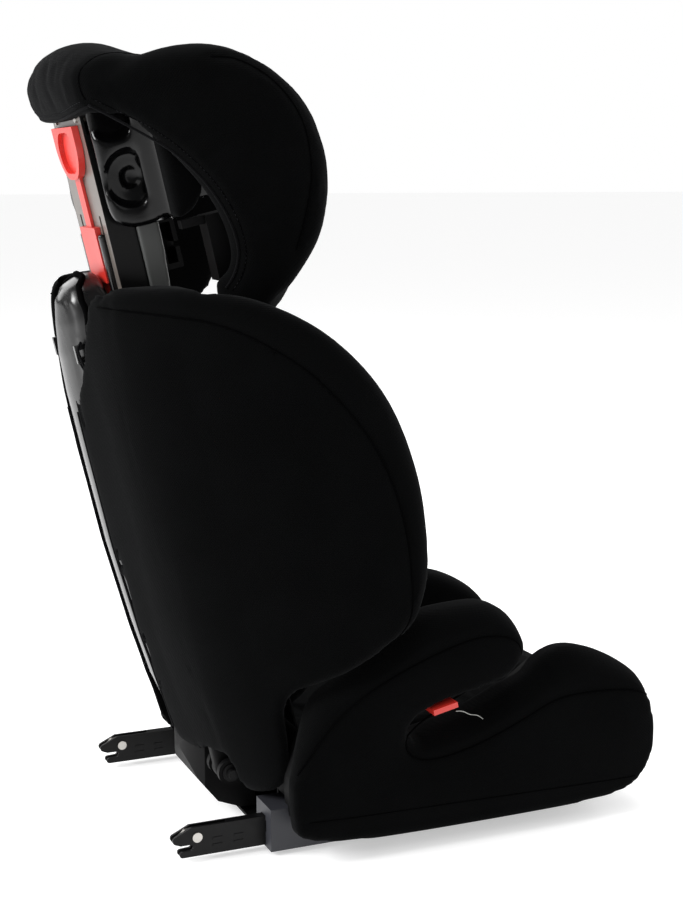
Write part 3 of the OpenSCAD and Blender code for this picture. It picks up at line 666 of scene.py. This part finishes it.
def seat_field(x, y, z):
    """The seat pad: dished in the middle, with a rounded front edge."""
    half = INNER_X + 3
    shape = polygon_distance(SEAT, y[0], z[0])[None]
    dish = 7 * np.exp(-(x / 80) ** 2) * ramp(z, 96, 112) * ramp(-y, -150, -40)
    seams = bump_at(np.abs(x) - SEAT_SEAM_X, 2.8)
    seams = seams + bump_at(y - SEAT_SEAM_Y, 2.8) * (np.abs(x) < SEAT_SEAM_X)
    seams = seams + bump_at(y - 4, 2.4) * ramp(SEAT_SEAM_X - np.abs(x), 0, 8) * 0.7
    return round_and(shape + dish, np.abs(x) - half, 12) + SEAM_DEPTH * seams * ramp(z, 92, 104)


def seat_pad():
    """The seat pad, filled with air between its seams."""
    o = soft("seat_pad", seat_field, (-160, -214, 24), (160, 190, 160), 5, base_to_row, FABRIC)
    co = coords_of(o) / MM
    at_seam = (np.abs(np.abs(co[:, 0]) - SEAT_SEAM_X) < 4) | (np.abs(co[:, 1] - SEAT_SEAM_Y) < 4)
    held = at_seam | (np.abs(co[:, 0]) > INNER_X - 6) | (co[:, 2] < 92) | (co[:, 1] > 165)
    puff(o, held, cap=4 * MM, shrink=-0.015)
    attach(o, "base")
    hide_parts("seat_cushion")


# ---------- backrest, in mm, backrest frame

BACK_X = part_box("back_cover")[1].x / MM
PANEL_R = 42                      # half width of the arched rear panel
PANEL_TOP = 513
RIDGE_R = 58                      # radius of its rounded rear
WING_IN = 165                     # inner face of the wings
PLATE_Y = -66                     # front face of the back plate
LOBE_X = 113                      # the lower lobes hang outside the hinge
HINGE_R = 12                      # ears of the back frame round the recline rod
EAR_X = 83.5
SLIT_X = 18                       # the cover leaves this half width open down its rear
REAR_Y = 90                       # behind everything
NOTCH = np.array([[0, 545], [0, 400], [22, 401], [34, 408], [50, 432], [68, 470], [78, 500], [84, 545]],
                 float)           # the cover's opening beside the arched top of the rear panel
WING_FRONT = curve([[22, 497], [8, 503], [-8, 503], [-30, 499], [-56, 493], [-114, 468], [-170, 419],
                    [-211, 348], [-226, 264], [-218, 184], [-200, 142], [-180, 121], [-150, 109],
                    [-112, 96], [-76, 90], [-59, 83], [-52, 66], [-50, 44], [-47, 12], [-41, -6],
                    [-27, -19], [-9, -22], [7, -11], [15, 10]])
WING = np.vstack([WING_FRONT, [[REAR_Y, 14], [REAR_Y, 470], [34, 484]]])
BACK_PLAN = np.vstack([[[-20, -240], [BACK_X - 6, -240]],
                       curve([[BACK_X - 6, -240], [BACK_X, -195], [BACK_X - 5, -140], [BACK_X - 20, -90],
                              [BACK_X - 42, -45], [150, -8], [122, 16], [90, 27.5], [60, 35], [30, 42],
                              [0, 46]])[1:], [[-20, 46]]])
BACK_SEAM = curve([[22, 492], [-12, 481], [-39, 471], [-67, 459], [-104, 431], [-147, 382], [-185, 306],
                   [-197, 229], [-189, 154], [-176, 126], [-153, 111]])


def rear_shift(z):
    """How far the rear of the backrest curves forward towards its two ends."""
    return np.interp(z, [-20, 8, 32, 60, 90, 153, 240, 340, 400, 456, 494, 530],
                     [-26, -20, -16, -13, -10, -5, -1, 0, -2, -6, -11, -20])


def side_plan(x, y, z):
    """Distance to the backrest's outline as seen from above, at each height."""
    shifted = y - rear_shift(z) * ramp(y, -70, -5)
    return polygon_distance(BACK_PLAN, np.abs(x), shifted)


def back_field(x, y, z):
    """One half of the backrest's cover: the wing, and the padding behind the back plate."""
    outline = polygon_distance(WING, y[0], z[0])[None]
    plan = side_plan(x, y, z)
    f = round_and(outline, plan, 14)
    # inner face of the wing, and the hollow behind the back plate
    inner = WING_IN - x + 4 * np.sin(np.clip((z - 60) / 400, 0, 1) * math.pi)
    f = round_and(f, np.where(y < PLATE_Y, inner, -40), 16)
    hollow = np.maximum(np.maximum(x - 108, np.maximum(PLATE_Y - y, plan + 9)), 20 - z)
    f = np.maximum(f, -hollow)
    ahead = np.maximum(x - WING_IN, y - PLATE_Y)
    f = np.maximum(f, -ahead)
    # nothing hangs below the hinge on the inner side
    low = np.maximum(np.maximum(x - LOBE_X, z - 24), y - 13.5)
    f = np.maximum(f, -low)
    # it lies on the rear panel
    f = np.maximum(f, -(np.maximum(ridge_distance(x, y, z), x - PANEL_R) - 0.8))
    # edge of the slit over the rear panel, and the notch beside its arched top
    f = round_and(f, SLIT_X - x, 3)
    notch = polygon_distance(NOTCH, x[:, 0, :], z[:, 0, :])[:, None, :]
    f = np.where(y > PLATE_Y, round_and(f, -notch, 5), f)
    seam_at = line_distance(BACK_SEAM, y[0], z[0])[None]
    groove = bump_at(seam_at, SEAM_WIDTH) * ramp(x - WING_IN * 0.5, 10, 26) * (y < 30) * (x > 96) * SEAM_DEPTH
    rear_seam = bump_at(x - 104 - 0.02 * z, 2.4) * ramp(y, -4, 8) * 1.4
    return f + groove + rear_seam


def back_sides():
    """Both halves of the backrest's cover, with their side seams and the binding of the slit."""
    for side, mirror in SIDES:
        o = soft(f"back_cover_{side}", back_field, (12, -238, -24), (BACK_X + 8, 58, 530), 4.5,
                 back_to_row, FABRIC, mirror)
        local = row_to_back(coords_of(o))
        near_seam = line_distance(BACK_SEAM, local[:, 1], local[:, 2]) < 4
        hidden = (np.abs(local[:, 0]) < WING_IN + 2) & (local[:, 1] < 10)
        edges = (np.abs(local[:, 0]) < 60) | (local[:, 2] < 60) | (local[:, 1] > 30)
        puff(o, near_seam | hidden | edges, cap=1.5 * MM)
        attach(o, "backrest")
        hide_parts("back_cover", f"wing_foam_{side}")
        if not mirror:
            seam("wing_seam", o, BACK_SEAM, back_to_row, BACK_X + 40, "backrest")
            edge = back_to_row([(SLIT_X + 2.5, REAR_Y, z) for z in np.linspace(34, 396, 60)])
            pts, _ = cast_line(tree_of(o), edge, -REAR, 0.2 * MM)
            for hand, line in (("left", pts), ("right", mirrored(pts))):
                cord = sweep(f"slit_binding_{hand}", smooth_path(line), 1.5 * MM, BINDING)
                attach(cord, "backrest")


def back_frame_field(x, y, z):
    """The moulded frame inside the cover: its plate, inner wall and hinge ears."""
    ax = np.abs(x)
    outline = polygon_distance(WING, y[0], z[0])[None]
    plate = box_distance(ax, y, z, (-20, PLATE_Y + 0.5, 39), (150, PLATE_Y + 3, 407)) - 0.5
    # wall inside the padding of the wings and of the rear
    wall = np.abs(side_plan(x, y, z) + 14) - 2.6
    wall = np.maximum(wall, np.maximum(outline + 12, PANEL_R + 2 - ax))
    wall = np.maximum(wall, np.maximum(np.maximum(PLATE_Y - y, z - 470), 60 - z))
    f = np.minimum(plate, wall)
    # hinge ears around the recline rod, with a foot up to the plate
    ear = np.hypot(y, z) - HINGE_R
    ear = np.minimum(ear, np.maximum(np.abs(y - 2) - 9, np.abs(z - 22) - 24))
    foot = np.maximum(np.maximum(PLATE_Y + 1 - y, y - 12), np.abs(z - 40) - 5)
    ear = np.minimum(ear, foot)
    ear = round_and(ear, np.abs(ax - EAR_X) - 9, 2)
    ear = np.maximum(ear, 5.6 - np.hypot(y, z))
    return np.minimum(f, ear)


def back_frame():
    o = soft("back_frame", back_frame_field, (-200, -76, -18), (200, 40, 476), 3.5, back_to_row, DULL)
    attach(o, "backrest")
    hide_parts("back_shell")


BACK_PAD_SEAM_X = 104
BACK_PAD = np.vstack([curve([[-62, 405], [-80, 401], [-91, 376], [-93, 250], [-97, 130], [-93, 84],
                             [-80, 68], [-62, 62]]), [[-60, 62], [-60, 405]]])


def back_pad_field(x, y, z):
    """The back pad, sewn across at two heights."""
    shape = polygon_distance(BACK_PAD, y[0], z[0])[None]
    # narrow between the armrests, wide between the wings
    half = WING_IN + 1 - 19 * ramp(-z, -118, -96)
    f = round_and(shape, np.abs(x) - half, 10)
    seams = bump_at(np.abs(x) - BACK_PAD_SEAM_X, 2.8)
    for height in (330, 205):
        seams = seams + bump_at(z - height, SEAM_WIDTH) * ramp(BACK_PAD_SEAM_X - np.abs(x), 0, 6)
    return f + 2.4 * seams * ramp(-y, 70, 84)


def back_pad():
    """The back pad, filled with air between its seams."""
    o = soft("back_pad", back_pad_field, (-176, -112, 50), (176, -50, 416), 5, back_to_row, FABRIC)
    local = row_to_back(coords_of(o))
    at_seam = np.abs(np.abs(local[:, 0]) - BACK_PAD_SEAM_X) < 4
    held = at_seam | (local[:, 1] > -76) | (np.abs(local[:, 0]) > 150)
    puff(o, held, cap=3 * MM, shrink=-0.015)
    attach(o, "backrest")
    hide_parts("back_cushion")


def panel_field(x, y, z):
    """The arched rear panel, with a shallow rim near its top."""
    arch = np.where(z > PANEL_TOP - PANEL_R, np.hypot(x, z - PANEL_TOP + PANEL_R), np.abs(x)) - PANEL_R
    f = round_and(ridge_distance(x, y, z), arch, 7)
    f = round_and(f, -14 - y, 8)
    f = round_and(f, 36 - z, 4)
    rim = bump_at(arch + 11, 2.4) * ramp(z, 380, 430) * 1.6
    return f + rim


def panel_rear(z):
    """Rear of the arched panel on its middle line, which curves forward at both ends."""
    return np.interp(z, [30, 60, 90, 153, 240, 320, 400, 440, 470, 492, 504, 511],
                     [22, 26.5, 32.5, 38, 42.5, 43, 42.5, 40.5, 36, 31, 22, 8])


def ridge_distance(x, y, z):
    """Distance to the rounded rear of the arched panel."""
    return np.hypot(x, y - panel_rear(z) + RIDGE_R) - RIDGE_R


def ridge_y(x, z):
    """Where the rear of the arched panel is."""
    return panel_rear(z) - RIDGE_R + math.sqrt(RIDGE_R ** 2 - x ** 2)


def rear_panel():
    o = soft("rear_panel", panel_field, (-PANEL_R - 8, -22, 28), (PANEL_R + 8, 56, 522), 3,
             back_to_row, BLACK)
    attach(o, "backrest")
    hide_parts("back_panel")


def panel_rim_shade():
    """Dark cord round the arched panel: painted shade along its rounded rim, where the gloss turns away from the
    light.
    """
    r = PANEL_R + 0.5
    turn = np.linspace(0, math.pi, 40)
    arch = [(-r * math.cos(a), PANEL_TOP - PANEL_R + r * math.sin(a)) for a in turn]
    up = [(-r, z) for z in np.linspace(398, PANEL_TOP - PANEL_R - 4, 12)]
    line = [*up, *arch, *[(-x, z) for x, z in up[::-1]]]
    depth = [ridge_y(x * 0.97, z) - 4 for x, z in line]
    path = back_to_row([(x, y, z) for (x, z), y in zip(line, depth)])
    # a dark cord standing in for the shade along the panel's rim
    cord = sweep("panel_rim_shade", path, 3.2 * MM, CORD, sides=8)
    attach(cord, "backrest")


# points of one elastic loop: outwards from the hook, to the rear, and up the back
LOOP = [(0, 27, 452), (2, 33, 446), (1, 33, 436), (-1, 29, 422), (1, 27, 408), (4, 27, 398),
        (6, 27, 408), (5, 29, 424), (5, 32, 438), (3, 32, 448), (0, 27, 454)]


def hook_loops():
    """Elastic loops that pull the cover to the hooks beside the arched panel."""
    for side in (-1, 1):
        x = side * (PANEL_R + 4)
        path = [(x + side * out, y, z) for out, y, z in LOOP]
        loop = sweep("elastic_loop_left" if side > 0 else "elastic_loop_right",
                     back_to_row(curve3(path)), 1.3 * MM, BINDING)
        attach(loop, "backrest")


def curve3(points):
    """Smooth open curve through points in space."""
    p = np.asarray(points, float)
    a = curve(p[:, :2])
    b = curve(p[:, 1:])
    return np.column_stack([a[:, 0], a[:, 1], b[:, 1]])


# ---------- headrest, in mm, backrest frame

HEAD_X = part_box("headrest_cover")[1].x / MM
ROLL_SEAM_X = 99                  # upright seams of the roll over the top
BEHIND_Y = 60                     # behind and above the headrest, where its seams are cast from
ABOVE_Z = 780
HEM_EDGE = [[-30, 663], [-58, 640], [-82, 614], [-104, 580], [-117, 545], [-120, 515], [-114, 496]]
HEM = curve([[-22, 669], *HEM_EDGE, [-101, 482]])
HEAD_WING = np.vstack([
    curve([[-14, 674], *HEM_EDGE, [-98, 484], [-97, 462], [-105, 446], [-112, 442]]),
    curve([[-112, 442], [-130, 443], [-150, 457], [-174, 474], [-206, 508], [-225, 552], [-228, 590],
           [-220, 627], [-201, 658], [-172, 685], [-140, 701], [-104, 707], [-60, 706], [-30, 703],
           [-14, 698]])[1:]])
HEAD_ROLL = np.vstack([curve([[-10, 654], [-3, 690], [-10, 713], [-34, 727], [-60, 726], [-84, 714],
                              [-96, 704], [-98, 690]]), [[-84, 672], [-60, 660], [-38, 656]]])
HEAD_PLAN = np.vstack([[[-20, -240], [HEAD_X - 4, -240]],
                       curve([[HEAD_X - 4, -240], [HEAD_X, -190], [HEAD_X - 6, -130], [HEAD_X - 24, -74],
                              [111, -40], [97, -16], [66, -4], [0, 2]])[1:], [[-20, 2]]])
HEAD_SEAM = curve([[-134, 690], [-159, 682], [-188, 656], [-207, 615], [-205, 568], [-190, 530], [-173, 500]])


def roll_hem(x):
    """Lower edge of the rear roll, lowest in the middle."""
    return 659 + 8 * (np.abs(x) / 95) ** 2


def head_field(x, y, z):
    """The headrest's cover: two round wings and the roll over the top."""
    ax = np.abs(x)
    # the lining hangs lower than the outer face of the wing
    lining = 14 * ramp(-ax, -134, -108) * ramp(-z, -500, -450) * ramp(y, -190, -155) * ramp(-y, 104, 126)
    wing = polygon_distance(HEAD_WING, y, z + lining)
    plan = polygon_distance(HEAD_PLAN, ax[:, :, 0], y[:, :, 0])[:, :, None]
    f = round_and(wing, plan, 20)
    f = round_and(f, 106 - 26 * ramp(y, -62, -22) - ax, 12)
    # the roll is highest in the middle
    roll = polygon_distance(HEAD_ROLL, y[0], z[0])[None]
    arch = 16 * (ax / 100) ** 2.4 * ramp(z, 690, 716)
    roll = round_and(roll + arch, ax - 110, 12)
    roll = round_and(roll, roll_hem(ax) - z, 6)
    roll = round_and(roll, plan, 18)
    f = smooth_or(f, roll, 12)
    groove = bump_at(line_distance(HEAD_SEAM, y[0], z[0])[None], SEAM_WIDTH) * ramp(ax, 118, 132) * SEAM_DEPTH
    upright = bump_at(ax - ROLL_SEAM_X, 2.4) * ramp(y, -60, -40) * ramp(z, 660, 668) * 1.6
    hem = bump_at(line_distance(HEM, y[0], z[0])[None] - 8, 1.8) * ramp(ax, 96, 108)
    back_hem = bump_at(z - roll_hem(ax) - 8, 1.8) * ramp(y, -30, -16)
    # gathers of the roll beside its upright seams
    gathers = np.sin(ax / 3.6 + 0.03 * z) * bump_at(ax - 78, 16)
    gathers = gathers + 0.7 * np.sin(ax / 5.5 + 0.05 * z) * bump_at(ax - 30, 22)
    gathers = gathers * ramp(y, -40, -12) * ramp(z, 664, 680) * ramp(-z, -722, -705)
    return f + groove + upright + hem + back_hem + gathers


def head_cover():
    """The headrest's cover with its seams, hem and stitches."""
    o = soft("head_cover", head_field, (-HEAD_X - 8, -240, 412), (HEAD_X + 8, 8, 744), 4.5,
             back_to_row, FABRIC)
    local = row_to_back(coords_of(o))
    near = line_distance(HEAD_SEAM, local[:, 1], local[:, 2]) < 4
    hidden = (np.abs(local[:, 0]) < 108) & (local[:, 1] < -30)
    low = (local[:, 2] < 672) & (np.abs(local[:, 0]) < 112)
    at_hem = line_distance(HEM, local[:, 1], local[:, 2]) < 12
    puff(o, near | hidden | low | at_hem, cap=1.5 * MM, shrink=-0.004)
    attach(o, "headrest")
    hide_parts("headrest_cover", "headrest_foam_left", "headrest_foam_right")
    seam("head_seam", o, HEAD_SEAM, back_to_row, HEAD_X + 40, "headrest")
    seam("head_hem", o, offset_line(HEM, 3), back_to_row, HEAD_X + 40, "headrest", radius=1.3,
         material=BINDING, sink=0.2)
    seam("head_hem_stitch", o, offset_line(HEM, 8), back_to_row, HEAD_X + 40, "headrest", radius=0.5,
         stitched=True)
    rear_seams(tree_of(o))


def offset_line(line, d):
    """The line moved by d, square to its direction."""
    p = np.asarray(line, float)
    t = np.gradient(p, axis=0)
    t /= np.linalg.norm(t, axis=1, keepdims=True)
    return p + d * np.stack([t[:, 1], -t[:, 0]], 1)


def rear_seams(tree):
    """Seams of the headrest roll: two upright ones, and the hem across the back."""
    upright = back_to_row([(ROLL_SEAM_X, BEHIND_Y, z) for z in np.linspace(676, 706, 16)])
    low, _ = cast_line(tree, upright, -REAR, 0)
    over = back_to_row([(ROLL_SEAM_X, y, ABOVE_Z) for y in np.linspace(-18, -92, 20)])
    top, _ = cast_line(tree, over, -UP, 0)
    line = smooth_path([*low, *top])
    for side, path in (("left", line), ("right", mirrored(line))):
        cord = sweep(f"roll_seam_{side}", path, 0.8 * MM, CORD)
        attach(cord, "headrest")
    pts, _ = hem_across(tree, 2.5, 0.2)
    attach(sweep("roll_binding", smooth_path(pts), 1.5 * MM, BINDING), "headrest")
    pts, nrm = hem_across(tree, 8, 0.1)
    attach(stitches("roll_stitches", pts, nrm, THREAD), "headrest")


def hem_across(tree, above, lift):
    """A line over the back of the roll, that far above its lower edge, with its normals."""
    across = back_to_row([(x, BEHIND_Y, roll_hem(x) + above) for x in np.linspace(-97, 97, 60)])
    return cast_line(tree, across, -REAR, lift * MM)


HEAD_PAD_X = 112
HEAD_PAD_SEAM_X = 62
HEAD_PAD = np.vstack([curve([[-84, 668], [-98, 664], [-110, 650], [-115, 620], [-112, 582], [-100, 560],
                             [-84, 552]]), [[-78, 552], [-78, 668]]])


def head_pad_field(x, y, z):
    """The small pad between the wings of the headrest."""
    shape = polygon_distance(HEAD_PAD, y[0], z[0])[None]
    f = round_and(shape, np.abs(x) - HEAD_PAD_X, 8)
    return f + SEAM_DEPTH * bump_at(np.abs(x) - HEAD_PAD_SEAM_X, SEAM_WIDTH) * ramp(-y, 92, 104)


def head_pad():
    """The headrest's pad, filled with air between its seams."""
    o = soft("head_pad", head_pad_field, (-120, -122, 542), (120, -70, 676), 4, back_to_row, FABRIC)
    local = row_to_back(coords_of(o))
    at_seam = np.abs(np.abs(local[:, 0]) - HEAD_PAD_SEAM_X) < 4
    held = (local[:, 1] > -94) | at_seam | (np.abs(local[:, 0]) > HEAD_PAD_X - 10)
    puff(o, held, cap=3 * MM, shrink=-0.015)
    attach(o, "headrest")
    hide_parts("headrest_cushion")


SHELL_X = 99                      # half width of the headrest's shell
CHEEK_X = 70                      # middle of its cheeks' thickness
DISHES = ((-53, 597, 26), (-47, 664, 28))       # place and radius of the recesses in each cheek
FLANGE_X = 59.4                   # middle of the flanges' thickness
FLANGE_LOW = 402
FLANGE_HIGH = 556
CHEEK = np.vstack([curve([[-84, 551], [-60, 550], [-44, 551], [-31, 558], [-26, 572], [-26, 600]]),
                   [[-26, 689], [-84, 689]]])


def flange_field(x, y, z):
    """Upright flange of the backrest beside the mast, narrower below."""
    reach = 73 - 5 * ramp(-z, -540, -450)
    f = round_and(np.abs(x - FLANGE_X) - 2.1, np.maximum(y + 50, -reach - y), 1.2)
    return round_and(f, np.maximum(z - FLANGE_HIGH, FLANGE_LOW - z), 1.5)


def mast_flanges():
    for side, mirror in SIDES:
        flange = soft(f"mast_flange_{side}", flange_field, (54, -78, FLANGE_LOW - 6),
                      (66, -46, FLANGE_HIGH + 6), 2, back_to_row, FLANGE, mirror)
        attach(flange, "backrest")


def shell_field(x, y, z):
    """The headrest's shell: a plate, a thick cheek at each side and the walls under the wings."""
    ax = np.abs(x)
    f = round_and(box_distance(ax, y, z, (-20, -84, 551), (SHELL_X, -80, 689)), ax - SHELL_X, 2)
    cheek = polygon_distance(CHEEK, y[0], z[0])[None]
    cheek = round_and(cheek, np.abs(ax - CHEEK_X) - 8, 5)
    # two dished recesses with a blind hole in the lower one
    for cy, cz, r in DISHES:
        hole = np.hypot(y - cy, z - cz)
        bowl = round_and(hole - r, CHEEK_X - 1 - ax + 3 * (hole / r) ** 2, 4)
        cheek = round_and(cheek, -bowl, 5)
    eye = np.maximum(np.hypot(y + 54, z - 597) - 9, 65.5 - ax)
    cheek = round_and(cheek, -eye, 2)
    # side plate from the cheek out to the padding, with its lower edge rising forwards
    across = ax - 76 - 32 * (-60 - y) / 52
    side = round_and(np.abs(across) * 0.85 - 2, np.maximum(y + 62, -116 - y), 2)
    side = round_and(side, np.maximum(z - 690, 552 + 12 * ramp(-y, 60, 110) - z), 3)
    return smooth_or(np.minimum(f, cheek), side, 6)


def head_shell():
    o = soft("head_shell", shell_field, (-116, -122, 542), (116, -18, 698), 3, back_to_row, SHELL)
    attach(o, "headrest")
    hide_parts("headrest_shell")


def guide_thread():
    """Loose end of the thread that ties each lap belt guide."""
    low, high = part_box("lap_belt_guide_left")
    start = Vector((high.x, low.y, low.z)) / MM
    steps = ((-2, 2, 1), (1, -4, 1), (2, -12, -3), (2, -20, -5), (1, -27, -10))
    path = [start + Vector(step) for step in steps]
    for side, sign in (("left", 1), ("right", -1)):
        points = [(sign * p.x, p.y, p.z) for p in path]
        thread = sweep(f"guide_thread_{side}", base_to_row(curve3(points)), 0.35 * MM, PALE_THREAD, sides=5)
        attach(thread, "base")


def mast_trim():
    """Black guide strips beside the slider."""
    for side, sign in (("left", 1), ("right", -1)):
        def strip(x, y, z):
            return box_distance(x * sign, y, z, (31, -23.4, 476), (39, -18, 548)) - 0.4
        low, high = sorted((28 * sign, 42 * sign))
        o = soft(f"mast_strip_{side}", strip, (low, -27, 470), (high, -14, 552), 1.6, back_to_row, BLACK)
        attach(o, "headrest")


# ---------- stage

FLOOR = 60                        # half the floor's width
AIM = Vector((0, 0.1, 0.35))      # where the lamps point
# place, width and power of each lamp
LAMPS = {"key": ((0.2, 3.4, 2.1), 1.6, 150),
         "rear side": ((-1.8, 2.2, 2.4), 1.4, 8),
         "fill": ((-2.6, -1.8, 1.6), 2.0, 12),
         "top": ((0.2, 0.0, 3.2), 2.0, 40),
         "far": ((2.4, 0.8, 1.6), 1.6, 16),
         "front": ((0.8, -3.2, 1.8), 2.0, 45)}


def floor():
    """A pale floor that fades into the background."""
    corners = [(-FLOOR, -FLOOR, 0), (FLOOR, -FLOOR, 0), (FLOOR, FLOOR, 0), (-FLOOR, FLOOR, 0)]
    mat, _, bsdf = nodes_of("pale floor")
    set_inputs(bsdf, {"Base Color": (0.72, 0.72, 0.72, 1), "Emission Color": (1, 1, 1, 1),
                      "Emission Strength": 0.46, "Roughness": 0.95, "Specular IOR Level": 0.1})
    make_mesh("floor", corners, [(0, 1, 2, 3)], mat)


def studio():
    """White surroundings, darker where glossy surfaces mirror them, so that highlights stay clear."""
    world = bpy.data.worlds.new("studio")
    bpy.context.scene.world = world
    world.use_nodes = True
    nodes, link = world.node_tree.nodes, world.node_tree.links.new
    back = nodes["Background"]
    set_inputs(back, {"Color": (1, 1, 1, 1)})
    seen = nodes.new("ShaderNodeLightPath")
    level = nodes.new("ShaderNodeMapRange")
    set_inputs(level, {"To Min": 0.7, "To Max": 1.0})
    link(seen.outputs["Is Camera Ray"], level.inputs["Value"])
    mirror = nodes.new("ShaderNodeMix")
    mirror.data_type = "FLOAT"
    set_inputs(mirror, {"B": 0.15})
    link(seen.outputs["Is Glossy Ray"], mirror.inputs["Factor"])
    link(level.outputs["Result"], mirror.inputs["A"])
    link(mirror.outputs["Result"], back.inputs["Strength"])


def lamps():
    """The studio's area lamps."""
    for name, (where, size, power) in LAMPS.items():
        lamp = bpy.data.lights.new(name, "AREA")
        lamp.size = size
        lamp.energy = power
        o = bpy.data.objects.new(name, lamp)
        o.location = where
        o.rotation_euler = (AIM - Vector(where)).to_track_quat("-Z", "Y").to_euler()
        bpy.context.scene.collection.objects.link(o)
    bpy.context.scene.view_settings.view_transform = "Standard"


def camera():
    """The camera, a little above the seat and turned to its rear."""
    cam = bpy.data.cameras.new("camera")
    cam.lens = 64
    cam.sensor_width = 36
    o = bpy.data.objects.new("camera", cam)
    azimuth, elevation = math.radians(247.17), math.radians(9.69)
    # azimuth 0 looks along +Y
    forward = Vector((-math.sin(azimuth) * math.cos(elevation), math.cos(azimuth) * math.cos(elevation),
                      -math.sin(elevation)))
    centre = Vector((0, 0.0703, 0.3738))
    distance = 1.725
    o.location = centre - forward * distance
    o.rotation_euler = forward.to_track_quat("-Z", "Y").to_euler()
    bpy.context.scene.collection.objects.link(o)
    bpy.context.scene.camera = o


dress_cad_nodes()
base_sides()
seat_pad()
back_sides()
back_pad()
back_frame()
rear_panel()
panel_rim_shade()
hook_loops()
head_cover()
head_pad()
head_shell()
mast_flanges()
mast_trim()
guide_thread()
floor()
studio()
lamps()
camera()
